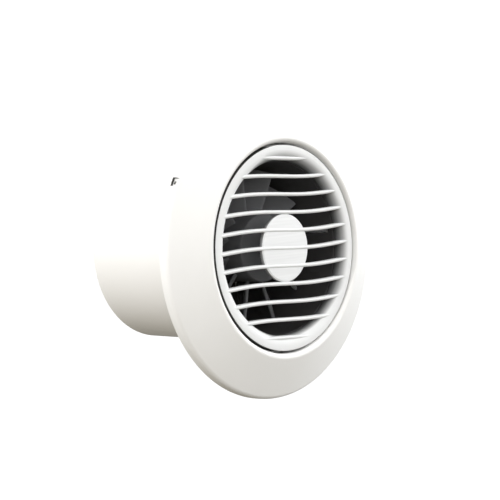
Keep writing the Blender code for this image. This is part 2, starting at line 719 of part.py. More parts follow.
def make_terminals():
    place = radial_frame(0)
    block_low = (TERMINAL_INNER, TERMINAL_FRONT_Y, -TERMINAL_HALF_WIDTH)
    block_high = (TERMINAL_OUTER, -FLANGE_THICKNESS - GAP, TERMINAL_HALF_WIDTH)
    terminal = block("terminal_block", block_low, block_high, "white_plastic", place, bevel=0.4 * MM)
    middle = (TERMINAL_INNER + TERMINAL_OUTER) / 2
    pieces = [terminal]
    for number in range(3):
        screw_place = place @ Matrix.Translation((middle, 0, (number - 1) * 7 * MM))
        cut(terminal, cylinder("well", 2.3 * MM, TERMINAL_FRONT_Y - MM, -5 * MM, place=screw_place))
        name = f"terminal_screw_{number + 1}"
        screw = slotted_screw(
            name, screw_place, -7.6 * MM, 1.9 * MM, 1.1 * MM, 1.2 * MM, -5.3 * MM, "brass"
        )
        pieces.append(screw)
    return pieces


def make_cable_entry():
    place = radial_frame(CABLE_ANGLE, CABLE_CIRCLE)
    profile = [
        (3 * MM, -4.1 * MM), (6.2 * MM, -4.1 * MM), (6.2 * MM, -FLANGE_THICKNESS - GAP),
        (CABLE_HOLE - GAP, -FLANGE_THICKNESS - GAP), (CABLE_HOLE - GAP, -0.1 * MM), (3 * MM, -0.1 * MM),
    ]
    grommet = turned("cable_grommet", profile, "black_rubber", 20, place)
    clamp_place = radial_frame(CLAMP_ANGLE, CLAMP_CIRCLE)
    reach = CLAMP_SPAN + 2 * MM
    clamp = block(
        "cable_clamp", (-reach, -6.2 * MM, -1.9 * MM), (reach, -4.7 * MM, 1.9 * MM), "white_plastic",
        clamp_place, bevel=0.3 * MM,
    )
    pieces = [grommet, clamp]
    for number, side in enumerate((-1, 1), 1):
        screw_place = clamp_place @ Matrix.Translation((side * CLAMP_SPAN, 0, 0))
        cut(clamp, cylinder("hole", 1.1 * MM, -8 * MM, -4 * MM, place=screw_place))
        name = f"clamp_screw_{number}"
        screw = slotted_screw(
            name, screw_place, -7.6 * MM, 1.7 * MM, 1.1 * MM, 0.8 * MM, -1.6 * MM, "steel"
        )
        pieces.append(screw)
    return pieces


def lead_frame():
    """The plane that holds the motor lead: just beside the first vane."""
    offset = VANE_THICKNESS / 2 + 1.0 * MM
    return radial_frame(VANE_ANGLE) @ Matrix.Translation((0, 0, offset))


def make_motor_lead():
    """The lead runs out beside a vane, forward in the sleeve's slot and out to the terminals."""
    behind, front = 35.5 * MM, -3.4 * MM
    wall, bend = 46.75 * MM, 1.2 * MM
    route = [(MOTOR_RADIUS + 0.4 * MM, behind)]
    route += [(radius, y) for radius, y in arc((wall - bend, behind - bend), bend, -90, 0, 4)]
    route += [(wall, y * MM) for y in (24, 12)]
    route += [(radius, y) for radius, y in arc((wall + bend, front + bend), bend, 180, 90, 4)]
    route += [(52 * MM, front), (TERMINAL_INNER, front)]
    curve = bpy.data.curves.new("motor_lead", "CURVE")
    curve.dimensions = "3D"
    curve.bevel_depth = 0.7 * MM
    curve.bevel_resolution = 2
    curve.use_fill_caps = True
    spline = curve.splines.new("POLY")
    spline.points.add(len(route) - 1)
    place = lead_frame()
    for point, (radius, y) in zip(spline.points, route):
        point.co = (*(place @ Vector((radius, y, 0))), 1)
    lead = bpy.data.objects.new("motor_lead", curve)
    curve.materials.append(bpy.data.materials["grey_wire"])
    bpy.context.scene.collection.objects.link(lead)
    return lead


# ---------------------------------------------------------------- assembly


def make_axis(name, place):
    """An empty on a joint's axis, for the pieces that move about it."""
    axis = bpy.data.objects.new(name, None)
    axis.empty_display_size = 10 * MM
    axis.location = place
    bpy.context.scene.collection.objects.link(axis)
    return axis


def hang(pieces, axis):
    """Parents pieces to an axis without moving them."""
    bpy.context.view_layer.update()
    for piece in pieces:
        piece.parent = axis
        piece.matrix_parent_inverse = axis.matrix_world.inverted()


def main():
    for obj in list(bpy.data.objects):
        bpy.data.objects.remove(obj)
    for name, (colour, roughness, metallic) in FINISHES.items():
        make_material(name, colour, roughness, metallic)
    make_housing()
    make_wall_seal()
    make_motor_carrier()
    make_motor()
    make_terminals()
    make_cable_entry()
    make_motor_lead()
    hang([make_front_cover()], make_axis("cover_axis", (0, GRILLE_FRONT_Y, 0)))
    hang([make_grille()], make_axis("grille_axis", (0, GRILLE_FRONT_Y, 0)))
    hang([make_impeller(), *make_rotor()], make_axis("impeller_axis", (0, BLADE_FRONT, 0)))
    frame, pin, right, left, spring = make_shutter()
    hang([right], make_axis("right_flap_axis", (0, PIN_Y, 0)))
    hang([left], make_axis("left_flap_axis", (0, PIN_Y, 0)))


main()
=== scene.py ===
"""Looks of the 100 mm wall fan: fine surfaces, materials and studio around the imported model.

The frame is the model's own: +X right, +Y into the wall along the duct, +Z up, metres.
Every round piece is turned about the fan's Y axis, and angles are counted from +X towards +Z.
"""

import json
import math

import bmesh
import bpy
from mathutils import Matrix, Vector


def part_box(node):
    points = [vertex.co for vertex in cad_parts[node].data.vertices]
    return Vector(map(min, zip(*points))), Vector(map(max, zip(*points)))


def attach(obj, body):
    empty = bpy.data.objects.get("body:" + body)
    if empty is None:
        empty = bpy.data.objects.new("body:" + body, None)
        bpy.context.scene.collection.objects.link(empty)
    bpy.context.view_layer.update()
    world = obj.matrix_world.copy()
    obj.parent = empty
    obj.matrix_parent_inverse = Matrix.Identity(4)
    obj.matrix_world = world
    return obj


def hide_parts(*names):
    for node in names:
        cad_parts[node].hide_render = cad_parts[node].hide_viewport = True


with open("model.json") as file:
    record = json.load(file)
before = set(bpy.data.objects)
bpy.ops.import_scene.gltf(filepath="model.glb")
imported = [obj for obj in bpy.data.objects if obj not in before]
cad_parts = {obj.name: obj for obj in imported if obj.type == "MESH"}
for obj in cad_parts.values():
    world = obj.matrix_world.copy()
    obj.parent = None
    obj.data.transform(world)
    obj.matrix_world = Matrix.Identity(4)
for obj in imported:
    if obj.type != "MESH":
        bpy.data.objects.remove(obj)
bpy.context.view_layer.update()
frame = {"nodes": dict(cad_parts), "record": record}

MM = 0.001
GAP = 0.3 * MM
RECORD = frame["record"]
BODY_OF = {node: body for body, nodes in RECORD["behaviour"]["bodies"].items() for node in nodes}
SLOT_OF = {part["node"]: part["material_slot"] for part in RECORD["subparts"]}


def outside(node):
    """Outer radius, front Y and back Y of a node that is round about the fan's axis."""
    low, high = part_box(node)
    return high.x, low.y, high.y


COVER_RADIUS, COVER_FRONT, COVER_BACK = outside("front_cover")
GRILLE_RADIUS, GRILLE_FRONT, RING_END = outside("grille_insert")
FLANGE_RADIUS, FLANGE_RIM_Y, SPIGOT_END = outside("fan_housing")
LIP_RADIUS, SLEEVE_FRONT, SLEEVE_END = outside("motor_carrier")
SLEEVE_OUTER, SHUTTER_START, SHUTTER_END = outside("shutter_frame")
SEAL_OUTER, SEAL_FRONT, SEAL_BACK = outside("wall_seal")
SHAFT_RADIUS, SHAFT_FRONT, SHAFT_BACK = outside("motor_shaft")
MOTOR_RADIUS, CORE_START, CORE_END = outside("stator_core")
MOTOR_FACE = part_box("motor_front_shield")[0].y
PIN_Y = (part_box("shutter_pin")[0].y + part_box("shutter_pin")[1].y) / 2

COVER_WALL = 2.2 * MM
RIM_ROUND = 3.5 * MM
RIM_ROUND_Y = -2.72 * MM
CONE_ANGLE = math.atan(0.5)
LIP_ROUND = 2.3 * MM
LIP_CENTRE_RADIUS = 57.8 * MM
COLLAR_WALL = 1.5 * MM
COLLAR_END = -4.5 * MM
PEG_RADIUS = 1.8 * MM
PEG_FRONT = -10.6 * MM
PEG_END = -0.8 * MM
PEG_CIRCLE = 66 * MM
PEG_ANGLES = (90, 210, 330)
NOTCH_ANGLE = 151.1
NOTCH_FLOOR = COVER_RADIUS - 1.5 * MM
NOTCH_FRONT = -6.2 * MM
NOTCH_BACK = -1.9 * MM
NOTCH_HALF = 2.4 * MM
NOTCH_SLOT_FLOOR = 74 * MM

MOUTH_RADIUS = 51.6 * MM
THROAT_RADIUS = 46.2 * MM
THROAT_Y = -10.2 * MM
SKIRT_END = -8.8 * MM
GRILLE_WALL = 1.5 * MM
LOUVRES = 11
LOUVRE_PITCH = 9.46 * MM
LOUVRE_HALF = 1.0 * MM
LOUVRE_FRONT = GRILLE_FRONT + 0.1 * MM
LOUVRE_DEPTH = 4.0 * MM
WAVE_HEIGHT = 0.96 * MM
WAVE_LENGTH = 98.2 * MM
TAPER_LENGTH = 9 * MM
TAPER_TIP = 0.3
DISC_RADIUS = 18 * MM
DISC_FRONT = GRILLE_FRONT + 0.65 * MM
DISC_THICKNESS = 2.4 * MM
# Between these angles the ring's outer side is painted near black as painted shade in the gap.
SHADE_FROM, SHADE_TO = 100, 285

SPIGOT_ROOT = 50.4 * MM
SPIGOT_TIP = 49.1 * MM
SPIGOT_BORE = 47.7 * MM
FLANGE_THICKNESS = 2.5 * MM
FLANGE_RIM = 1.6 * MM
SEAL_INNER = 52.3 * MM
FIXING_CIRCLE = 66 * MM
FIXING_RADIUS = 2.25 * MM
FIXING_ANGLES = (45, 135, 225, 315)
WINDOW_ANGLES = (132, 312)
WINDOW_HALF_ANGLE = 5.2
WINDOW_START = 22 * MM
WINDOW_END = 34 * MM
CABLE_ANGLE = 35
CABLE_CIRCLE = 63.4 * MM
CABLE_HOLE = 5.3 * MM
CLAMP_ANGLE = 20
CLAMP_CIRCLE = 63 * MM
CLAMP_SPAN = 3.8 * MM
CLAMP_HOLE = 1.1 * MM
TERMINAL_PITCH = 7 * MM
LEAD_RADIUS = 0.7 * MM

SLEEVE_INNER = 46 * MM
LIP_FRONT = -4 * MM
VANES = 5
VANE_ANGLE = 5
VANE_THICKNESS = 2 * MM
VANE_START = 33 * MM
VANE_END = 43 * MM
PLATE_START = 40.1 * MM
PLATE_END = 42.3 * MM
PLATE_RADIUS = 15.4 * MM
PLATE_HOLE = 6.6 * MM
MOUNT_CIRCLE = 9 * MM
MOUNT_ANGLES = (90, 210, 330)
MOUNT_HOLE = 1.5 * MM
TIE_CIRCLE = 14.1 * MM
TIE_ANGLES = (45, 225)
TIE_HOLE = 1.3 * MM
SHIELD_BOSS = 1.6 * MM

HUB_RADIUS = 18.1 * MM
HUB_WALL = 1.4 * MM
HUB_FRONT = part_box("impeller")[0].y
HUB_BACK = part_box("impeller")[1].y
HUB_SLEEVE_RADIUS = 3.8 * MM
HUB_SLEEVE_END = 7.2 * MM
BLADES = 11
BLADE_TIP = 43.6 * MM
BLADE_FRONT = 11 * MM
BLADE_FIRST_ANGLE = 29.1
BLADE_SWEEP = 24
BLADE_PITCH_ROOT = 48
BLADE_PITCH_TIP = 42
BLADE_THICKNESS = 2.0 * MM
BLADE_NOSE = 0.04
BLADE_NOSE_LEAST = 0.35
BLADE_THINNING = 0.45

PIN_RADIUS = 1.0 * MM
PIN_REACH = 46.6 * MM
PIN_BORE = PIN_RADIUS + GAP
FLAP_RADIUS = 45 * MM
FLAP_THICKNESS = 1.0 * MM
FLAP_EDGE = 3.2 * MM
KNUCKLE_RADIUS = 2.1 * MM
KNUCKLE_LENGTH = 8 * MM

FINE_TURNS = 224
ROUND_TURNS = 96
SMALL_TURNS = 32
FILLET_STEPS = 4
SMOOTH_ANGLE = math.radians(32)


# ---------------------------------------------------------------- materials


def link_noise(nodes, links, coords, scale, detail, stretch):
    """A noise field over the object, stretched by a factor along each axis."""
    mapping = nodes.new("ShaderNodeMapping")
    mapping.inputs["Scale"].default_value = stretch
    links.new(coords.outputs["Object"], mapping.inputs["Vector"])
    noise = nodes.new("ShaderNodeTexNoise")
    noise.inputs["Scale"].default_value = scale
    noise.inputs["Detail"].default_value = detail
    links.new(mapping.outputs["Vector"], noise.inputs["Vector"])
    return noise


def make_surface(name, light, dark, roughness, metallic=0.0, cloud=45, grain=1600, depth=0.012,
                 stretch=(1, 1, 1), spread=0.06, specular=0.5, coat=0.0):
    """A moulded, turned or brushed surface: clouded colour, uneven gloss and a fine grain."""
    material = bpy.data.materials.new(name)
    material.use_nodes = True
    nodes, links = material.node_tree.nodes, material.node_tree.links
    shader = nodes["Principled BSDF"]
    shader.inputs["Metallic"].default_value = metallic
    shader.inputs["Specular IOR Level"].default_value = specular
    if coat:
        shader.inputs["Coat Weight"].default_value = coat
        shader.inputs["Coat Roughness"].default_value = 0.25
    coords = nodes.new("ShaderNodeTexCoord")

    clouds = link_noise(nodes, links, coords, cloud, 4, stretch)
    ramp = nodes.new("ShaderNodeValToRGB")
    ramp.color_ramp.elements[0].position = 0.3
    ramp.color_ramp.elements[0].color = (*dark, 1)
    ramp.color_ramp.elements[1].position = 0.7
    ramp.color_ramp.elements[1].color = (*light, 1)
    links.new(clouds.outputs["Fac"], ramp.inputs["Fac"])
    links.new(ramp.outputs["Color"], shader.inputs["Base Color"])

    patches = link_noise(nodes, links, coords, cloud * 5, 3, stretch)
    gloss = nodes.new("ShaderNodeMapRange")
    gloss.inputs["To Min"].default_value = roughness - spread
    gloss.inputs["To Max"].default_value = roughness + spread
    links.new(patches.outputs["Fac"], gloss.inputs["Value"])
    links.new(gloss.outputs["Result"], shader.inputs["Roughness"])

    texture = link_noise(nodes, links, coords, grain, 3, stretch)
    bump = nodes.new("ShaderNodeBump")
    bump.inputs["Strength"].default_value = 0.6
    bump.inputs["Distance"].default_value = depth * MM
    links.new(texture.outputs["Fac"], bump.inputs["Height"])
    links.new(bump.outputs["Normal"], shader.inputs["Normal"])
    return material


def shade_by_depth(material, start, end, stops, lifts):
    """Darkens a surface along Y: stops are (share of the way from start to end, brightness left).

    Each lift (axis, where full, where gone, depth) lets the light reach that much deeper on one side,
    or less deep where its depth is negative.
    """
    nodes, links = material.node_tree.nodes, material.node_tree.links
    base = nodes["Principled BSDF"].inputs["Base Color"]
    plain = base.links[0].from_socket
    coords = nodes.new("ShaderNodeTexCoord")
    split = nodes.new("ShaderNodeSeparateXYZ")
    links.new(coords.outputs["Object"], split.inputs["Vector"])
    reached = split.outputs["Y"]
    for axis, full, gone, amount in lifts:
        lift = nodes.new("ShaderNodeMapRange")
        for name, value in (("From Min", full), ("From Max", gone), ("To Min", -amount), ("To Max", 0)):
            lift.inputs[name].default_value = value
        links.new(split.outputs[axis], lift.inputs["Value"])
        total = nodes.new("ShaderNodeMath")
        links.new(reached, total.inputs[0])
        links.new(lift.outputs["Result"], total.inputs[1])
        reached = total.outputs["Value"]
    depth = nodes.new("ShaderNodeMapRange")
    depth.inputs["From Min"].default_value = start
    depth.inputs["From Max"].default_value = end
    links.new(reached, depth.inputs["Value"])
    ramp = nodes.new("ShaderNodeValToRGB")
    elements = ramp.color_ramp.elements
    for element, (position, level) in zip((elements[0], elements[1]), (stops[0], stops[-1])):
        element.position = position
        element.color = (level, level, level, 1)
    for position, level in stops[1:-1]:
        elements.new(position).color = (level, level, level, 1)
    links.new(depth.outputs["Result"], ramp.inputs["Fac"])
    mix = nodes.new("ShaderNodeMix")
    mix.data_type = "RGBA"
    mix.blend_type = "MULTIPLY"
    mix.inputs[0].default_value = 1
    links.new(plain, mix.inputs[6])
    links.new(ramp.outputs["Color"], mix.inputs[7])
    links.new(mix.outputs[2], base)


def make_materials():
    """One finish for each slot of the record, and five more: the grille's and disc's own finishes, and
    painted shade for the lip, mouth and hub.
    """
    white = dict(light=(0.88, 0.875, 0.86), dark=(0.865, 0.86, 0.84), roughness=0.42)
    surfaces = {
        "cover_plastic": white,
        "lip_painted_shade": white,
        "grille_plastic": dict(light=(0.77, 0.78, 0.78), dark=(0.75, 0.76, 0.76), roughness=0.45),
        "disc_plastic": dict(
            light=(0.81, 0.82, 0.825), dark=(0.74, 0.75, 0.755), roughness=0.34, spread=0.08,
            cloud=900, grain=1400, depth=0.02, stretch=(0.03, 1, 1),
        ),
        "mouth_painted_shade": dict(
            light=(0.825, 0.835, 0.835), dark=(0.8, 0.81, 0.81), roughness=0.6, specular=0.2,
        ),
        "housing_plastic": dict(light=(0.86, 0.85, 0.825), dark=(0.85, 0.84, 0.815), roughness=0.45),
        "dark_plastic": dict(
            light=(0.05, 0.048, 0.047), dark=(0.036, 0.035, 0.035), roughness=0.55,
            grain=2200, depth=0.02,
        ),
        "impeller_plastic": dict(
            light=(0.18, 0.182, 0.19), dark=(0.155, 0.157, 0.162), roughness=0.62, specular=0.15,
            cloud=80, grain=1900,
        ),
        "hub_painted_shade": dict(
            light=(0.145, 0.147, 0.152), dark=(0.125, 0.127, 0.132), roughness=0.62, specular=0.12,
            cloud=80, grain=1900,
        ),
        "flap_plastic": dict(
            light=(0.66, 0.66, 0.64), dark=(0.6, 0.6, 0.585), roughness=0.5,
            cloud=70, grain=1500, depth=0.02,
        ),
        "terminal_plastic": dict(
            light=(0.78, 0.765, 0.71), dark=(0.73, 0.715, 0.66), roughness=0.5, cloud=120,
        ),
        "lead_sheath": dict(
            light=(0.34, 0.34, 0.35), dark=(0.28, 0.28, 0.29), roughness=0.55,
            cloud=150, grain=2600,
        ),
        "black_rubber": dict(
            light=(0.035, 0.035, 0.035), dark=(0.022, 0.022, 0.022), roughness=0.72,
            cloud=260, grain=2400, depth=0.03,
        ),
        "seal_foam": dict(
            light=(0.1, 0.1, 0.104), dark=(0.045, 0.045, 0.048), roughness=0.92,
            cloud=1500, grain=1500, depth=0.12,
        ),
        "steel": dict(
            light=(0.66, 0.66, 0.67), dark=(0.52, 0.52, 0.53), roughness=0.3, spread=0.1, metallic=1.0,
            cloud=300, grain=2600, depth=0.008,
        ),
        "spring_steel": dict(
            light=(0.58, 0.57, 0.56), dark=(0.42, 0.42, 0.42), roughness=0.26, metallic=1.0,
            cloud=500, grain=3000, depth=0.006,
        ),
        "motor_zinc": dict(
            light=(0.6, 0.61, 0.63), dark=(0.42, 0.43, 0.46), roughness=0.36, spread=0.12, metallic=1.0,
            cloud=160, grain=1200, depth=0.012,
        ),
        "lamination": dict(
            light=(0.24, 0.23, 0.22), dark=(0.13, 0.125, 0.12), roughness=0.42, metallic=0.8,
            cloud=700, grain=900, depth=0.06, stretch=(0.05, 1, 0.05),
        ),
        "winding": dict(
            light=(0.68, 0.28, 0.12), dark=(0.42, 0.14, 0.05), roughness=0.32, metallic=0.85, coat=0.4,
            cloud=900, grain=1100, depth=0.08, stretch=(1, 0.08, 1),
        ),
        "bearing_bronze": dict(
            light=(0.62, 0.43, 0.24), dark=(0.44, 0.29, 0.15), roughness=0.4, metallic=0.9,
            cloud=1400, grain=2600,
        ),
        "brass": dict(
            light=(0.8, 0.63, 0.33), dark=(0.66, 0.48, 0.22), roughness=0.28, metallic=1.0,
            cloud=400, grain=2600, depth=0.008,
        ),
    }
    materials = {name: make_surface(name, **values) for name, values in surfaces.items()}
    # Painted shade: the lip's inner side darkens away from its crest, less so at the bottom.
    shade_by_depth(
        materials["lip_painted_shade"], COVER_FRONT, COVER_FRONT + LIP_ROUND,
        stops=((0, 1), (0.12, 0.86), (0.4, 0.78), (1, 0.74)),
        lifts=(("Z", -50 * MM, -15 * MM, LIP_ROUND),),
    )
    # Painted shade: the bell mouth darkens with depth towards the throat, and stays lighter deeper in on the
    # left and at the bottom.
    shade_by_depth(
        materials["mouth_painted_shade"], GRILLE_FRONT, SKIRT_END,
        stops=((0, 0.96), (0.03, 0.85), (0.1, 0.62), (0.2, 0.4), (0.44, 0.19), (0.76, 0.1), (1, 0.08)),
        lifts=(
            ("X", -40 * MM, -12 * MM, 2 * MM),
            ("Z", -46 * MM, -25 * MM, 1.2 * MM),
            ("Z", 46 * MM, 15 * MM, -0.1 * MM),
        ),
    )
    return materials


MATERIALS = make_materials()


# ---------------------------------------------------------------- mesh helpers


def radial_frame(angle, radius=0.0, y=0.0):
    """Local X points outwards at this angle, Y along the fan and Z around it."""
    turn = math.radians(angle)
    out = Vector((math.cos(turn), 0, math.sin(turn)))
    around = Vector((-math.sin(turn), 0, math.cos(turn)))
    along = Vector((0, 1, 0))
    place = Matrix((out, along, around)).transposed().to_4x4()
    place.translation = out * radius + along * y
    return place


def from_axis(point):
    """How far a point lies from the fan's axis."""
    return math.hypot(point.x, point.z)


def object_from(name, bm):
    """Turns a bmesh into an object with outward faces, smooth where it is round."""
    bmesh.ops.remove_doubles(bm, verts=bm.verts, dist=1e-7)
    bmesh.ops.recalc_face_normals(bm, faces=bm.faces)
    mesh = bpy.data.meshes.new(name)
    bm.to_mesh(mesh)
    bm.free()
    obj = bpy.data.objects.new(name, mesh)
    bpy.context.scene.collection.objects.link(obj)
    mesh.shade_smooth()
    mesh.set_sharp_from_angle(angle=SMOOTH_ANGLE)
    return obj


def filleted(corners):
    """A closed outline from (x, y) or (x, y, fillet radius) corners, with those fillets as arcs."""
    points = []
    for index, corner in enumerate(corners):
        here = Vector(corner[:2])
        if len(corner) == 2:
            points.append(here)
            continue
        before = Vector(corners[index - 1][:2]) - here
        after = Vector(corners[(index + 1) % len(corners)][:2]) - here
        half = before.angle(after) / 2
        reach = min(corner[2] / math.tan(half), before.length * 0.48, after.length * 0.48)
        middle = (before.normalized() + after.normalized()).normalized()
        centre = here + middle * (reach / math.cos(half))
        start = here + before.normalized() * reach - centre
        end = here + after.normalized() * reach - centre
        first = math.atan2(start.y, start.x)
        turn = (math.atan2(end.y, end.x) - first + math.pi) % math.tau - math.pi
        for step in range(FILLET_STEPS + 1):
            angle = first + turn * step / FILLET_STEPS
            points.append(centre + start.length * Vector((math.cos(angle), math.sin(angle))))
    return points


def turned(name, corners, segments=FINE_TURNS, place=None):
    """An outline of (radius, y, fillet) corners turned round the Y axis, then placed."""
    profile = filleted(corners)
    bm = bmesh.new()
    verts = [bm.verts.new((radius, y, 0)) for radius, y in profile]
    edges = [bm.edges.new(pair) for pair in zip(verts, verts[1:])]
    if profile[0][0] > 0:
        edges.append(bm.edges.new((verts[-1], verts[0])))
    bmesh.ops.spin(
        bm, geom=verts + edges, cent=(0, 0, 0), axis=(0, 1, 0),
        angle=math.tau, steps=segments, use_merge=True,
    )
    if place:
        bm.transform(place)
    return object_from(name, bm)


def rod(name, radius, start, end, place=None, edge=0.0):
    """A solid rod along Y; edge rounds its ends."""
    corners = [(0, start), (radius, start, edge), (radius, end, edge), (0, end)]
    if not edge:
        corners = [corner[:2] for corner in corners]
    return turned(name, corners, SMALL_TURNS, place)


def ring(name, inner, outer, start, end, segments, edge=0.2 * MM):
    """A ring or sleeve along Y with rounded edges."""
    corners = [(inner, start, edge), (outer, start, edge), (outer, end, edge), (inner, end, edge)]
    return turned(name, corners, segments)


def block(name, low, high, place=None, bevel=0.0):
    """A box between two corners in the local frame of place; bevel rounds its edges."""
    bm = bmesh.new()
    bmesh.ops.create_cube(bm, size=1)
    size = Vector(high) - Vector(low)
    middle = (Vector(high) + Vector(low)) / 2
    bm.transform(Matrix.Translation(middle) @ Matrix.Diagonal((*size, 1)))
    if bevel:
        bmesh.ops.bevel(bm, geom=bm.edges[:], offset=bevel, segments=3, affect="EDGES", profile=0.5)
    if place:
        bm.transform(place)
    return object_from(name, bm)


def skin_rows(bm, rows):
    """Joins rows of points into a closed tube and caps both ends."""
    count = len(rows[0])
    for row, following in zip(rows, rows[1:]):
        for i in range(count):
            j = (i + 1) % count
            bm.faces.new((row[i], row[j], following[j], following[i]))
    bm.faces.new(rows[0])
    bm.faces.new(rows[-1])


def plank(name, outline, half, place, bevel=0.0):
    """A flat piece of an outline in (radius, y), half a thickness to each side."""
    bm = bmesh.new()
    rows = [[bm.verts.new(Vector((radius, y, z))) for radius, y in outline] for z in (-half, half)]
    skin_rows(bm, rows)
    if bevel:
        bmesh.ops.bevel(bm, geom=bm.edges[:], offset=bevel, segments=2, affect="EDGES", profile=0.5)
    bm.transform(place)
    return object_from(name, bm)


def sector(name, inner, outer, start, end, from_angle, to_angle):
    """A piece of a ring between two angles."""
    steps = 12
    bm = bmesh.new()
    rows = []
    for step in range(steps + 1):
        turn = math.radians(from_angle + (to_angle - from_angle) * step / steps)
        out = Vector((math.cos(turn), 0, math.sin(turn)))
        corners = ((inner, start), (outer, start), (outer, end), (inner, end))
        rows.append([bm.verts.new(out * radius + Vector((0, y, 0))) for radius, y in corners])
    skin_rows(bm, rows)
    return object_from(name, bm)


def wire(name, points, radius, resolution):
    """A round wire through points, with closed ends."""
    curve = bpy.data.curves.new(name, "CURVE")
    curve.dimensions = "3D"
    curve.bevel_depth = radius
    curve.bevel_resolution = resolution
    curve.use_fill_caps = True
    spline = curve.splines.new("POLY")
    spline.points.add(len(points) - 1)
    for knot, point in zip(spline.points, points):
        knot.co = (*point, 1)
    obj = bpy.data.objects.new(name, curve)
    bpy.context.scene.collection.objects.link(obj)
    return obj


def combine(target, tools, operation):
    """Adds, cuts or intersects target with separate tools in one go, and deletes them."""
    bm = bmesh.new()
    for tool in tools:
        bm.from_mesh(tool.data)
        bpy.data.objects.remove(tool)
    mesh = bpy.data.meshes.new("tools")
    bm.to_mesh(mesh)
    bm.free()
    joined = bpy.data.objects.new("tools", mesh)
    bpy.context.scene.collection.objects.link(joined)
    modifier = target.modifiers.new(operation.lower(), "BOOLEAN")
    modifier.object = joined
    modifier.operation = operation
    depsgraph = bpy.context.evaluated_depsgraph_get()
    mesh = bpy.data.meshes.new_from_object(target.evaluated_get(depsgraph))
    target.modifiers.clear()
    target.data = mesh
    bpy.data.objects.remove(joined)
    mesh.shade_smooth()
    mesh.set_sharp_from_angle(angle=SMOOTH_ANGLE)
    return target


def add(target, *tools):
    return combine(target, tools, "UNION")


def cut(target, *tools):
    return combine(target, tools, "DIFFERENCE")


def arc(centre, radius, from_angle, to_angle, steps):
    """Points on an arc in the (radius, y) plane; 0 degrees points outwards, 90 to the room."""
    points = []
    for step in range(steps + 1):
        turn = math.radians(from_angle + (to_angle - from_angle) * step / steps)
        points.append((centre[0] + radius * math.cos(turn), centre[1] - radius * math.sin(turn)))
    return points


def settle(piece, node, material=None):
    """The piece stands for a node: it rides on the node's body and takes its slot's finish or another."""
    slot = SLOT_OF[node]
    piece.data.materials.clear()
    piece.data.materials.append(MATERIALS[material or slot])
    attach(piece, BODY_OF[node])
    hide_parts(node)
    return piece


def paint_shade(piece, material, chosen):
    """Paints shade as a second material onto the faces that a test picks by their centre and normal."""
    piece.data.materials.append(MATERIALS[material])
    index = len(piece.data.materials) - 1
    for face in piece.data.polygons:
        if chosen(face.center, face.normal):
            face.material_index = index
    return piece


# ---------------------------------------------------------------- front cover and grille


def make_cover():
    """Rim, cone, lip and collar, with three pegs behind and a pry notch in the rim."""
    slope = math.degrees(math.pi / 2 - CONE_ANGLE)
    rim = (COVER_RADIUS - RIM_ROUND, RIM_ROUND_Y)
    lip = (LIP_CENTRE_RADIUS, COVER_FRONT + LIP_ROUND)
    collar = LIP_CENTRE_RADIUS - LIP_ROUND
    corners = [(COVER_RADIUS, COVER_BACK, 0.3 * MM)]
    corners += arc(rim, RIM_ROUND, 0, slope, 14)
    corners += arc(lip, LIP_ROUND, slope, 180, 18)
    corners += [(collar, COLLAR_END, 0.5 * MM), (collar + COLLAR_WALL, COLLAR_END, 0.5 * MM)]
    corners += [(collar + COLLAR_WALL, lip[1] + 0.2 * MM, 0.8 * MM)]
    corners += arc(rim, RIM_ROUND - COVER_WALL, slope, 0, 8)
    corners += [(COVER_RADIUS - COVER_WALL, COVER_BACK, 0.4 * MM)]
    cover = turned("cover_shell", corners)
    pegs = []
    for angle in PEG_ANGLES:
        place = radial_frame(angle, PEG_CIRCLE)
        pegs.append(rod("peg", PEG_RADIUS, PEG_FRONT, PEG_END, place=place, edge=0.5 * MM))
    place = radial_frame(NOTCH_ANGLE)
    low = (NOTCH_FLOOR, NOTCH_FRONT, -NOTCH_HALF)
    high = (COVER_RADIUS + MM, NOTCH_BACK, NOTCH_HALF)
    notch = block("notch", low, high, place)
    low = (NOTCH_SLOT_FLOOR, -3.9 * MM, -0.7 * MM)
    high = (NOTCH_FLOOR + MM, -2.4 * MM, 0.9 * MM)
    slot = block("slot", low, high, place)
    settle(cut(add(cover, *pegs), add(notch, slot)), "front_cover")

    def in_notch(centre, normal):
        local = place.inverted() @ centre
        margin = 0.05 * MM
        across = abs(local.z) < NOTCH_HALF + margin
        along = NOTCH_FRONT - margin < local.y < NOTCH_BACK + margin
        side_wall = abs(normal.dot(place.to_3x3().col[0])) < 0.2
        return across and along and local.x > NOTCH_SLOT_FLOOR - MM and side_wall

    def in_lip(centre, normal):
        return from_axis(centre) < LIP_CENTRE_RADIUS and centre.y < COVER_FRONT + 2 * LIP_ROUND

    # The lip's inner side takes the lip's painted shade.
    paint_shade(cover, "lip_painted_shade", in_lip)
    # Painted shade: the notch's side walls take the near-black material, so the recess reads dark.
    return paint_shade(cover, "dark_plastic", in_notch)


def mouth_points(steps, outwards=0.0):
    """The bell mouth from the ring's face in to the throat; outwards gives its back."""
    wide = MOUTH_RADIUS - THROAT_RADIUS - outwards
    deep = THROAT_Y - GRILLE_FRONT - outwards
    points = []
    for step in range(steps + 1):
        turn = math.pi / 2 * step / steps
        points.append((MOUTH_RADIUS - wide * math.sin(turn), THROAT_Y - deep * math.cos(turn)))
    return points


def louvre_height(row, x):
    """Height of a louvre's centre line: level, with one full wave across the grille."""
    return row * LOUVRE_PITCH - WAVE_HEIGHT * math.sin(math.tau * x / WAVE_LENGTH)


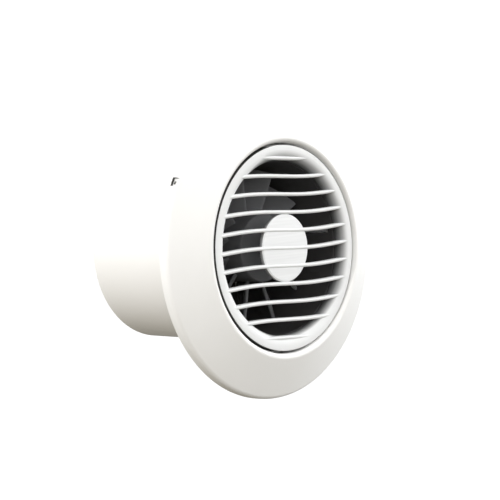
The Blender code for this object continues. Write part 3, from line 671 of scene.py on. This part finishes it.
def make_louvre(row):
    """One louvre: a waved strip with a round front edge that thins out towards its +X end."""
    stations, nose_steps = 72, 8
    reach = math.sqrt(MOUTH_RADIUS**2 - (row * LOUVRE_PITCH) ** 2) + MM
    bm = bmesh.new()
    rows = []
    for step in range(stations + 1):
        x = -reach + 2 * reach * step / stations
        left = min(max((reach - x) / TAPER_LENGTH, 0), 1)
        half = LOUVRE_HALF * (TAPER_TIP + (1 - TAPER_TIP) * math.sin(left * math.pi / 2))
        height = louvre_height(row, x)
        section = [(LOUVRE_FRONT + LOUVRE_DEPTH, -half)]
        for nose in range(nose_steps + 1):
            turn = -math.pi / 2 + math.pi * nose / nose_steps
            section.append((LOUVRE_FRONT + half * (1 - math.cos(turn)), half * math.sin(turn)))
        section.append((LOUVRE_FRONT + LOUVRE_DEPTH, half))
        rows.append([bm.verts.new((x, y, height + z)) for y, z in section])
    skin_rows(bm, rows)
    return object_from("louvre", bm)


def make_grille():
    """Ring, bell mouth and louvres in one, and the brushed disc in the middle."""
    corners = [(GRILLE_RADIUS, GRILLE_FRONT, 0.4 * MM)] + mouth_points(18)
    corners += [(THROAT_RADIUS, SKIRT_END, 0.5 * MM), (THROAT_RADIUS + GRILLE_WALL, SKIRT_END, 0.5 * MM)]
    corners += list(reversed(mouth_points(12, GRILLE_WALL)))
    outer_wall = GRILLE_RADIUS - GRILLE_WALL
    corners += [
        (outer_wall, GRILLE_FRONT + GRILLE_WALL, 0.3 * MM), (outer_wall, RING_END, 0.3 * MM),
        (GRILLE_RADIUS, RING_END, 0.3 * MM),
    ]
    grille = turned("grille_ring", corners)
    core_corners = [(0, GRILLE_FRONT - MM), (MOUTH_RADIUS - MM, GRILLE_FRONT - MM)]
    core_corners += mouth_points(18, GRILLE_WALL / 2) + [(0, THROAT_Y)]
    louvres = [make_louvre(row) for row in range(-(LOUVRES // 2), LOUVRES // 2 + 1)]
    combine(louvres[0], louvres[1:], "UNION")
    add(grille, combine(louvres[0], [turned("core", core_corners)], "INTERSECT"))
    settle(grille, "grille_insert", "grille_plastic")

    def in_mouth(centre, normal):
        along = min(max((THROAT_Y - centre.y) / (THROAT_Y - GRILLE_FRONT), 0), 1)
        curve = MOUTH_RADIUS - (MOUTH_RADIUS - THROAT_RADIUS) * math.sqrt(1 - along**2)
        inwards = normal.x * centre.x + normal.z * centre.z < 0
        return inwards and abs(from_axis(centre) - curve) < 0.15 * MM

    def is_wall(centre, normal):
        return abs(normal.y) < 0.3

    def on_shaded_side(centre, normal):
        """The ring's outer side, from its upper left round to the bottom, which takes painted shade."""
        turn = math.degrees(math.atan2(centre.z, centre.x)) % 360
        outermost = from_axis(centre) > GRILLE_RADIUS - 0.1 * MM
        return outermost and is_wall(centre, normal) and SHADE_FROM < turn < SHADE_TO

    # The bell mouth's inner surface takes the mouth's painted shade.
    paint_shade(grille, "mouth_painted_shade", in_mouth)
    # Painted shade: the ring's outer side wall in the gap is painted near black.
    paint_shade(grille, "dark_plastic", on_shaded_side)

    back = DISC_FRONT + DISC_THICKNESS
    disc_corners = [
        (0, DISC_FRONT), (DISC_RADIUS - 0.7 * MM, DISC_FRONT, 0.1 * MM),
        (DISC_RADIUS, DISC_FRONT + 0.45 * MM, 0.15 * MM), (DISC_RADIUS, back, 0.3 * MM), (0, back),
    ]
    disc = settle(turned("grille_disc", disc_corners, ROUND_TURNS), "grille_insert", "disc_plastic")
    # Painted shade: the disc's side wall takes the mouth's darkening by depth.
    paint_shade(disc, "mouth_painted_shade", is_wall)


# ---------------------------------------------------------------- housing and carrier


def make_housing():
    """Duct spigot and wall flange, with the seal's groove and all holes, bosses and windows."""
    groove = SEAL_FRONT - GAP
    corners = [
        (SPIGOT_ROOT, 0, 0.6 * MM), (SEAL_INNER - GAP, 0, 0.2 * MM), (SEAL_INNER - GAP, groove),
        (SEAL_OUTER + GAP, groove), (SEAL_OUTER + GAP, 0, 0.2 * MM), (FLANGE_RADIUS, 0, 0.4 * MM),
        (FLANGE_RADIUS, FLANGE_RIM_Y, 0.4 * MM), (FLANGE_RADIUS - FLANGE_RIM, FLANGE_RIM_Y, 0.4 * MM),
        (FLANGE_RADIUS - FLANGE_RIM, -FLANGE_THICKNESS, 0.6 * MM),
        (SPIGOT_BORE + 1.2 * MM, -FLANGE_THICKNESS, 0.4 * MM),
        (SPIGOT_BORE, -FLANGE_THICKNESS + 1.2 * MM, 0.4 * MM),
        (SPIGOT_BORE, SPIGOT_END, 0.5 * MM), (SPIGOT_TIP, SPIGOT_END, 0.7 * MM),
    ]
    housing = turned("wall_housing", corners)
    bosses, holes = [], []
    through = (-8 * MM, 1 * MM)
    for angle in PEG_ANGLES:
        place = radial_frame(angle, PEG_CIRCLE)
        bosses.append(rod("boss", PEG_RADIUS + 1.7 * MM, -6 * MM, -1 * MM, place=place, edge=0.4 * MM))
        holes.append(rod("socket", PEG_RADIUS + GAP, *through, place=place))
    for side in (-1, 1):
        place = radial_frame(CLAMP_ANGLE, CLAMP_CIRCLE + side * CLAMP_SPAN)
        bosses.append(rod("post", 1.8 * MM, -4.4 * MM, -1 * MM, place=place, edge=0.3 * MM))
        holes.append(rod("pilot", CLAMP_HOLE, -5 * MM, -1 * MM, place=place))
    for angle in FIXING_ANGLES:
        place = radial_frame(angle, FIXING_CIRCLE)
        holes.append(rod("fixing", FIXING_RADIUS, *through, place=place))
    place = radial_frame(CABLE_ANGLE, CABLE_CIRCLE)
    holes.append(rod("entry", CABLE_HOLE, *through, place=place))
    for angle in WINDOW_ANGLES:
        low, high = angle - WINDOW_HALF_ANGLE, angle + WINDOW_HALF_ANGLE
        holes.append(sector("window", SLEEVE_INNER, SEAL_INNER, WINDOW_START, WINDOW_END, low, high))
    return settle(cut(add(housing, *bosses), *holes), "fan_housing")


def make_snap_hook(angle):
    """A ramped catch on the sleeve that springs out into a window of the spigot."""
    root, tip = 47 * MM, 49.3 * MM
    outline = ((root, 24 * MM), (tip, 26 * MM), (tip, 27.2 * MM), (root, 31.5 * MM))
    return plank("hook", outline, 1.6 * MM, radial_frame(angle), bevel=0.15 * MM)


def lead_frame():
    """The plane that holds the motor lead: just beside the first vane."""
    offset = VANE_THICKNESS / 2 + LEAD_RADIUS + GAP
    return radial_frame(VANE_ANGLE) @ Matrix.Translation((0, 0, offset))


def make_carrier():
    """Duct sleeve with its lip, catches and lead slot, and five vanes that carry the motor plate."""
    lip_back = -FLANGE_THICKNESS - GAP
    corners = [
        (SLEEVE_INNER, SLEEVE_FRONT, 0.4 * MM), (SLEEVE_OUTER, SLEEVE_FRONT, 0.3 * MM),
        (SLEEVE_OUTER, LIP_FRONT, 0.3 * MM), (LIP_RADIUS, LIP_FRONT, 0.4 * MM),
        (LIP_RADIUS, lip_back, 0.2 * MM), (SLEEVE_OUTER, lip_back),
        (SLEEVE_OUTER, SLEEVE_END, 0.3 * MM), (SLEEVE_INNER, SLEEVE_END, 0.5 * MM),
    ]
    carrier = turned("duct_sleeve", corners)
    plate = ring("plate", PLATE_HOLE, PLATE_RADIUS, PLATE_START, PLATE_END, ROUND_TURNS, edge=0.4 * MM)
    root, shoulder, tip = PLATE_RADIUS - 3 * MM, PLATE_RADIUS + 2 * MM, SLEEVE_INNER + 0.7 * MM
    vane_outline = (
        (root, PLATE_START + GAP), (shoulder, PLATE_START + GAP), (shoulder, VANE_START), (tip, VANE_START),
        (tip, VANE_END), (root, VANE_END),
    )
    vanes = []
    for number in range(VANES):
        place = radial_frame(VANE_ANGLE + number * 360 / VANES)
        vanes.append(plank("vane", vane_outline, VANE_THICKNESS / 2, place, bevel=0.3 * MM))
    hooks = [make_snap_hook(angle) for angle in WINDOW_ANGLES]
    add(carrier, add(plate, *vanes), *hooks)
    holes = []
    for angle in MOUNT_ANGLES:
        place = radial_frame(angle, MOUNT_CIRCLE)
        holes.append(rod("hole", MOUNT_HOLE, PLATE_START - MM, PLATE_END + MM, place=place))
    low = (SLEEVE_INNER - 0.5 * MM, -5 * MM, -1.1 * MM)
    high = (LIP_RADIUS + MM, 38 * MM, 1.1 * MM)
    holes.append(block("slot", low, high, lead_frame()))
    return settle(cut(carrier, *holes), "motor_carrier")


# ---------------------------------------------------------------- impeller, motor and rotor


def make_blade(number):
    """One blade with a round leading edge, thinning towards its trailing edge."""
    stations, steps = 10, 12
    first = math.radians(BLADE_FIRST_ANGLE + number * 360 / BLADES)
    root = HUB_RADIUS - 0.7 * MM
    bm = bmesh.new()
    rows = []
    for station in range(stations + 1):
        share = station / stations
        radius = root + (BLADE_TIP - root) * share
        pitch = math.radians(BLADE_PITCH_ROOT + (BLADE_PITCH_TIP - BLADE_PITCH_ROOT) * share)
        upper, lower = [], []
        for step in range(steps + 1):
            chord = (step / steps) ** 1.5  # closer together at the round leading edge
            sweep = math.radians(BLADE_SWEEP) * chord
            nose = max(math.sqrt(min(chord / BLADE_NOSE, 1)), BLADE_NOSE_LEAST)
            half = BLADE_THICKNESS / 2 * (1 - BLADE_THINNING * chord) * nose
            y = BLADE_FRONT + radius * sweep * math.tan(pitch)
            for side, points in ((1, upper), (-1, lower)):
                turn = first + sweep - side * half * math.sin(pitch) / radius
                depth = y + side * half * math.cos(pitch)
                points.append(bm.verts.new((radius * math.cos(turn), depth, radius * math.sin(turn))))
        rows.append(upper + lower[::-1])
    skin_rows(bm, rows)
    bmesh.ops.triangulate(bm, faces=bm.faces[:])
    return object_from("blade", bm)


def make_impeller():
    """Hub cup with a sleeve for the shaft and the ring of blades; the hub is painted a little darker as
    painted shade.
    """
    inner = HUB_RADIUS - HUB_WALL
    face_back = HUB_FRONT + 1.5 * MM
    bore = SHAFT_RADIUS + GAP
    corners = [
        (bore, HUB_FRONT, 0.2 * MM), (HUB_RADIUS, HUB_FRONT, 0.9 * MM), (HUB_RADIUS, HUB_BACK, 0.4 * MM),
        (inner, HUB_BACK, 0.3 * MM), (inner, face_back, 0.8 * MM),
        (HUB_SLEEVE_RADIUS, face_back, 0.3 * MM), (HUB_SLEEVE_RADIUS, HUB_SLEEVE_END, 0.3 * MM),
        (bore, HUB_SLEEVE_END, 0.2 * MM),
    ]
    impeller = turned("fan_impeller", corners, ROUND_TURNS)
    settle(add(impeller, *[make_blade(number) for number in range(BLADES)]), "impeller")

    def on_hub(centre, normal):
        return from_axis(centre) < HUB_RADIUS + 0.1 * MM

    # Painted shade: the hub takes a darker grey than the blades.
    return paint_shade(impeller, "hub_painted_shade", on_hub)


def make_shield(node, mirrored):
    """A drawn end shield with its bearing boss."""
    middle = (CORE_START + CORE_END) / 2
    face = MOTOR_FACE + SHIELD_BOSS
    bore, boss, seat, inner = 2.4 * MM, 5.4 * MM, 4.3 * MM, 12.6 * MM
    corners = [
        (bore, face - SHIELD_BOSS, 0.3 * MM), (boss, face - SHIELD_BOSS, 0.5 * MM), (boss, face, 0.5 * MM),
        (MOTOR_RADIUS, face, 1.2 * MM), (MOTOR_RADIUS, CORE_START - GAP, 0.2 * MM),
        (inner, CORE_START - GAP, 0.2 * MM), (inner, face + 1.8 * MM, 0.8 * MM),
        (seat, face + 1.8 * MM, 0.2 * MM), (seat, face - 0.5 * MM, 0.2 * MM),
        (bore, face - 0.5 * MM, 0.2 * MM),
    ]
    start, end = 5 * MM, CORE_START
    if mirrored:
        corners = [(corner[0], 2 * middle - corner[1], corner[2]) for corner in corners]
        start, end = CORE_END - MM, 35.5 * MM
    shield = turned(f"{node}_pressing", corners, ROUND_TURNS)
    holes = [rod("hole", TIE_HOLE, start, end, place=radial_frame(angle, TIE_CIRCLE)) for angle in TIE_ANGLES]
    if mirrored:
        for angle in MOUNT_ANGLES:
            holes.append(rod("hole", MOUNT_HOLE, 34 * MM, 41 * MM, place=radial_frame(angle, MOUNT_CIRCLE)))
    return settle(cut(shield, *holes), node)


def make_rotor():
    """The shaft and the six-sided nut that holds the impeller on it."""
    shaft = rod("rotor_shaft", SHAFT_RADIUS, SHAFT_FRONT, SHAFT_BACK, edge=0.35 * MM)
    settle(shaft, "motor_shaft")
    low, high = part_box("impeller_nut")
    nut = ring("hub_nut", SHAFT_RADIUS + GAP, high.x, low.y, high.y, 6, edge=0.25 * MM)
    settle(nut, "impeller_nut")


# ---------------------------------------------------------------- shutter


def pin_frame(height=0.0):
    """Local Y runs up the shutter's pin."""
    return Matrix.Translation((0, PIN_Y, height)) @ Matrix.Rotation(math.pi / 2, 4, "X")


def make_shutter_frame():
    """A ring, bored for the pin, with an upright bar across it."""
    inner, edge = SLEEVE_INNER - 0.4 * MM, 0.4 * MM
    shutter = ring("shutter_ring", inner, SLEEVE_OUTER, SHUTTER_START, SHUTTER_END, FINE_TURNS, edge)
    half, reach = 1.5 * MM, 46.2 * MM
    low = (-half, SHUTTER_START + 0.2 * MM, -reach)
    high = (half, PIN_Y - KNUCKLE_RADIUS - GAP, reach)
    add(shutter, block("bar", low, high, bevel=edge))
    cut(shutter, rod("hole", PIN_BORE, -50 * MM, 50 * MM, place=pin_frame()))
    return settle(shutter, "shutter_frame")


def make_flap(node, side, knuckle_heights):
    """A half-round flap with rounded edges and two knuckles on the pin."""
    steps = 72
    limit = math.acos(FLAP_EDGE / FLAP_RADIUS)
    bm = bmesh.new()
    outline = []
    for step in range(steps + 1):
        turn = -limit + 2 * limit * step / steps
        outline.append((side * FLAP_RADIUS * math.cos(turn), FLAP_RADIUS * math.sin(turn)))
    half = FLAP_THICKNESS / 2
    rows = [[bm.verts.new((x, y, z)) for x, z in outline] for y in (PIN_Y - half, PIN_Y + half)]
    skin_rows(bm, rows)
    rim = [edge for edge in bm.edges if abs(edge.verts[0].co.y - edge.verts[1].co.y) < 1e-9]
    bmesh.ops.bevel(bm, geom=rim, offset=0.25 * MM, segments=3, affect="EDGES", profile=0.5)
    flap = object_from(f"{node}_leaf", bm)
    length = KNUCKLE_LENGTH / 2
    near, far = sorted((side * 1.2 * MM, side * (FLAP_EDGE + MM)))
    tabs, knuckles, bores = [], [], []
    for height in knuckle_heights:
        place = pin_frame(height)
        low = (near, PIN_Y - half + 0.1 * MM, height - length + 0.2 * MM)
        high = (far, PIN_Y + half - 0.1 * MM, height + length - 0.2 * MM)
        tabs.append(block("tab", low, high))
        knuckles.append(rod("knuckle", KNUCKLE_RADIUS, -length, length, place=place, edge=0.3 * MM))
        bores.append(rod("bore", PIN_BORE, -length - MM, length + MM, place=place))
    return settle(cut(add(add(flap, *tabs), *knuckles), *bores), node)


def make_spring():
    """The torsion spring's coil on the pin."""
    low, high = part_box("shutter_spring")
    turns, per_turn = 5, 28
    thickness = 0.3 * MM
    radius = high.x - thickness
    pitch = (high.z - low.z - 2 * thickness) / turns
    points = []
    for index in range(turns * per_turn + 1):
        turn = math.tau * index / per_turn
        height = pitch * (index / per_turn - turns / 2)
        points.append((radius * math.cos(turn), PIN_Y + radius * math.sin(turn), height))
    return settle(wire("closing_spring", points, thickness, 4), "shutter_spring")


def make_shutter_pin():
    """The upright pin that both flaps turn on."""
    pin = rod("hinge_pin", PIN_RADIUS, -PIN_REACH, PIN_REACH, place=pin_frame(), edge=0.2 * MM)
    return settle(pin, "shutter_pin")


# ---------------------------------------------------------------- fasteners, wiring and seal


def make_screw(node, place, head_y, head_radius, head_height, shank_radius, shank_end):
    """A pan-head screw along Y with a cross slot in its domed head and a ridged shank."""
    shoulder = head_y + head_height
    dome, core = head_radius * 0.3, shank_radius * 0.84
    corners = [
        (0, head_y), (head_radius * 0.75, head_y, dome), (head_radius, head_y + head_height * 0.45, dome),
        (head_radius, shoulder, 0.1 * MM), (shank_radius, shoulder),
    ]
    pitch = shank_radius * 0.55
    ridges = max(int((shank_end - shank_radius - shoulder) / pitch), 1)
    for number in range(1, ridges):
        y = shoulder + number * pitch
        corners += [(core, y), (shank_radius, y + pitch / 2)]
    corners += [(core, shank_end - shank_radius), (0, shank_end)]
    screw = turned(f"{node}_fine", corners, SMALL_TURNS, place)
    half, reach = head_radius * 0.13, head_radius * 0.72
    slots = []
    for turn in (0, 90):
        slot_place = place @ Matrix.Rotation(math.radians(turn), 4, "Y")
        low = (-reach, head_y - MM, -half)
        high = (reach, head_y + head_height * 0.5, half)
        slots.append(block("slot", low, high, slot_place))
    return settle(cut(screw, add(slots[0], slots[1])), node)


def terminal_places():
    """Local frames of the three terminals along their block."""
    low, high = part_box("terminal_block")
    middle = (low.x + high.x) / 2
    return [Matrix.Translation((middle, 0, row * TERMINAL_PITCH)) for row in (-1, 0, 1)]


def make_fasteners():
    """The screws of the motor, the terminals and the cable clamp."""
    for number, angle in enumerate(MOUNT_ANGLES, 1):
        place = radial_frame(angle, MOUNT_CIRCLE, PLATE_END + GAP) @ Matrix.Rotation(math.pi, 4, "X")
        make_screw(f"motor_screw_{number}", place, -1.5 * MM, 2.3 * MM, 1.5 * MM, 1.2 * MM, 6 * MM)
    for number, place in enumerate(terminal_places(), 1):
        make_screw(f"terminal_screw_{number}", place, -7.6 * MM, 1.9 * MM, 1.1 * MM, 1.2 * MM, -5.3 * MM)
    for number, side in enumerate((-1, 1), 1):
        place = radial_frame(CLAMP_ANGLE, CLAMP_CIRCLE + side * CLAMP_SPAN)
        make_screw(f"clamp_screw_{number}", place, -7.6 * MM, 1.7 * MM, 1.1 * MM, 0.8 * MM, -1.6 * MM)


def make_terminal_block():
    """A bar with three screw wells, and three wire entries in its outer side."""
    low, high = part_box("terminal_block")
    terminal = block("terminal_strip", low, high, bevel=0.5 * MM)
    holes = []
    for place in terminal_places():
        holes.append(rod("well", 2.3 * MM, low.y - MM, -5 * MM, place=place))
        wire_place = place @ Matrix.Translation((0, -4 * MM, 0)) @ Matrix.Rotation(math.pi / 2, 4, "Z")
        holes.append(rod("wire_entry", 0.7 * MM, -3.6 * MM, -2.6 * MM, place=wire_place))
    return settle(cut(terminal, *holes), "terminal_block")


def make_grommet():
    """The rubber grommet in the flange's cable hole."""
    bore, brim, waist = 3 * MM, 6.2 * MM, CABLE_HOLE - GAP
    front, brim_back, end = -4.1 * MM, -FLANGE_THICKNESS - GAP, -0.1 * MM
    corners = [
        (bore, front, 0.5 * MM), (brim, front, 0.6 * MM), (brim, brim_back, 0.3 * MM),
        (waist, brim_back), (waist, end, 0.4 * MM), (bore, end, 0.4 * MM),
    ]
    place = radial_frame(CABLE_ANGLE, CABLE_CIRCLE)
    return settle(turned("entry_grommet", corners, ROUND_TURNS, place), "cable_grommet")


def make_cable_clamp():
    """A bar across the cable, held by a screw at each end."""
    place = radial_frame(CLAMP_ANGLE, CLAMP_CIRCLE)
    reach, half = CLAMP_SPAN + 2 * MM, 1.9 * MM
    clamp = block("cord_clamp", (-reach, -6.2 * MM, -half), (reach, -4.7 * MM, half), place, 0.45 * MM)
    bores = []
    for side in (-1, 1):
        bore_place = place @ Matrix.Translation((side * CLAMP_SPAN, 0, 0))
        bores.append(rod("hole", CLAMP_HOLE, -8 * MM, -4 * MM, place=bore_place))
    return settle(cut(clamp, *bores), "cable_clamp")


def make_lead():
    """The motor lead beside a vane, forward in the sleeve's slot and out to the terminals."""
    behind, front = 35.5 * MM, -3.4 * MM
    wall, bend = 46.75 * MM, 1.2 * MM
    route = [(MOTOR_RADIUS + 0.4 * MM, behind)]
    route += arc((wall - bend, behind - bend), bend, -90, 0, 10)
    route += [(wall, y * MM) for y in (24, 12)]
    route += arc((wall + bend, front + bend), bend, 180, 90, 10)
    route += [(52 * MM, front), (58.3 * MM, front)]
    place = lead_frame()
    points = [place @ Vector((radius, y, 0)) for radius, y in route]
    return settle(wire("motor_cord", points, LEAD_RADIUS, 5), "motor_lead")


def make_seal():
    """The foam ring in the flange's groove."""
    seal = ring("seal_ring", SEAL_INNER, SEAL_OUTER, SEAL_FRONT, SEAL_BACK, FINE_TURNS)
    return settle(seal, "wall_seal")


# ---------------------------------------------------------------- studio and camera


def make_world():
    """White to the camera. The light is a sky, brightest at both sides and dim overhead.

    The ground below is warm and dim, and cooler and brighter towards +X.
    """
    world = bpy.data.worlds.new("studio")
    bpy.context.scene.world = world
    world.use_nodes = True
    nodes, links = world.node_tree.nodes, world.node_tree.links
    coords = nodes.new("ShaderNodeTexCoord")
    split = nodes.new("ShaderNodeSeparateXYZ")
    links.new(coords.outputs["Generated"], split.inputs["Vector"])

    def ranged(socket, start, end, low, high):
        level = nodes.new("ShaderNodeMapRange")
        for name, value in (("From Min", start), ("From Max", end), ("To Min", low), ("To Max", high)):
            level.inputs[name].default_value = value
        links.new(socket, level.inputs["Value"])
        return level.outputs["Result"]

    middle = 1.22
    left = ranged(split.outputs["X"], -0.9, -0.2, 3.5, middle)
    right = ranged(split.outputs["X"], 0.2, 0.9, middle, 4.2)
    overhead = ranged(split.outputs["Z"], 0.4, 0.95, 1.05, 0.08)
    sides = nodes.new("ShaderNodeMath")
    sides.operation = "MAXIMUM"
    links.new(left, sides.inputs[0])
    links.new(right, sides.inputs[1])
    strength = nodes.new("ShaderNodeMath")
    strength.operation = "MULTIPLY"
    links.new(sides.outputs["Value"], strength.inputs[0])
    links.new(overhead, strength.inputs[1])
    sky = nodes["Background"]
    sky.inputs["Color"].default_value = (1, 1, 1, 1)
    links.new(strength.outputs["Value"], sky.inputs["Strength"])
    ground = nodes.new("ShaderNodeBackground")
    tint = nodes.new("ShaderNodeValToRGB")
    tint.color_ramp.elements[0].color = (0.15, 0.123, 0.07, 1)
    tint.color_ramp.elements[1].color = (0.75, 0.79, 0.84, 1)
    links.new(ranged(split.outputs["X"], 0.25, 0.95, 0.0, 1.0), tint.inputs["Fac"])
    links.new(tint.outputs["Color"], ground.inputs["Color"])
    plain = nodes.new("ShaderNodeBackground")
    plain.inputs["Color"].default_value = (1, 1, 1, 1)
    plain.inputs["Strength"].default_value = 1.1
    path = nodes.new("ShaderNodeLightPath")
    around = nodes.new("ShaderNodeMixShader")
    links.new(ranged(split.outputs["Z"], -0.05, 0.05, 0.0, 1.0), around.inputs["Fac"])
    links.new(ground.outputs["Background"], around.inputs[1])
    links.new(sky.outputs["Background"], around.inputs[2])
    final = nodes.new("ShaderNodeMixShader")
    links.new(path.outputs["Is Camera Ray"], final.inputs["Fac"])
    links.new(around.outputs["Shader"], final.inputs[1])
    links.new(plain.outputs["Background"], final.inputs[2])
    links.new(final.outputs["Shader"], nodes["World Output"].inputs["Surface"])


def add_light(name, direction, distance, size, power):
    """A square soft light that looks at the fan from a direction."""
    light = bpy.data.lights.new(name, "AREA")
    light.size = size
    light.energy = power
    lamp = bpy.data.objects.new(name, light)
    towards = Vector(direction).normalized()
    lamp.location = towards * distance
    lamp.rotation_mode = "QUATERNION"
    lamp.rotation_quaternion = towards.to_track_quat("Z", "Y")
    bpy.context.scene.collection.objects.link(lamp)


def make_camera():
    """Eye level, from the front left, slightly rolled, as seen in a catalogue picture."""
    azimuth, elevation, roll = (math.radians(angle) for angle in (-47.37, 3.2, 2.95))
    back = Vector((
        math.sin(azimuth) * math.cos(elevation), -math.cos(azimuth) * math.cos(elevation), math.sin(elevation)
    ))
    right = Vector((0, 0, 1)).cross(back).normalized()
    up = back.cross(right)
    tilted_right = right * math.cos(roll) - up * math.sin(roll)
    tilted_up = right * math.sin(roll) + up * math.cos(roll)
    data = bpy.data.cameras.new("camera")
    data.sensor_width = 36
    data.lens = 133.2
    data.clip_start = 0.05
    data.clip_end = 50
    camera = bpy.data.objects.new("camera", data)
    aim = Vector((0, GRILLE_FRONT, 0))
    distance, shift_right, shift_up = 973.27, 19.31, 1.1  # millimetres
    place = aim + back * distance * MM - tilted_right * shift_right * MM - tilted_up * shift_up * MM
    facing = Matrix((tilted_right, tilted_up, back)).transposed().to_4x4()
    camera.matrix_world = Matrix.Translation(place) @ facing
    bpy.context.scene.collection.objects.link(camera)
    bpy.context.scene.camera = camera


# ---------------------------------------------------------------- assembly


make_camera()
make_world()
add_light("top_softbox", (-0.2, -0.4, 1), 1.2, 0.35, 1)

make_cover()
make_grille()
make_housing()
make_carrier()
make_impeller()
make_shield("motor_front_shield", False)
make_shield("motor_rear_shield", True)
make_rotor()
make_shutter_frame()
make_flap("shutter_flap_right", 1, (-30 * MM, 12 * MM))
make_flap("shutter_flap_left", -1, (-12 * MM, 30 * MM))
make_shutter_pin()
make_spring()
make_fasteners()
make_terminal_block()
make_grommet()
make_cable_clamp()
make_lead()
make_seal()

for node, obj in frame["nodes"].items():
    if not obj.hide_render:
        obj.data.materials.clear()
        obj.data.materials.append(MATERIALS[SLOT_OF[node]])

bpy.context.scene.view_settings.view_transform = "Standard"
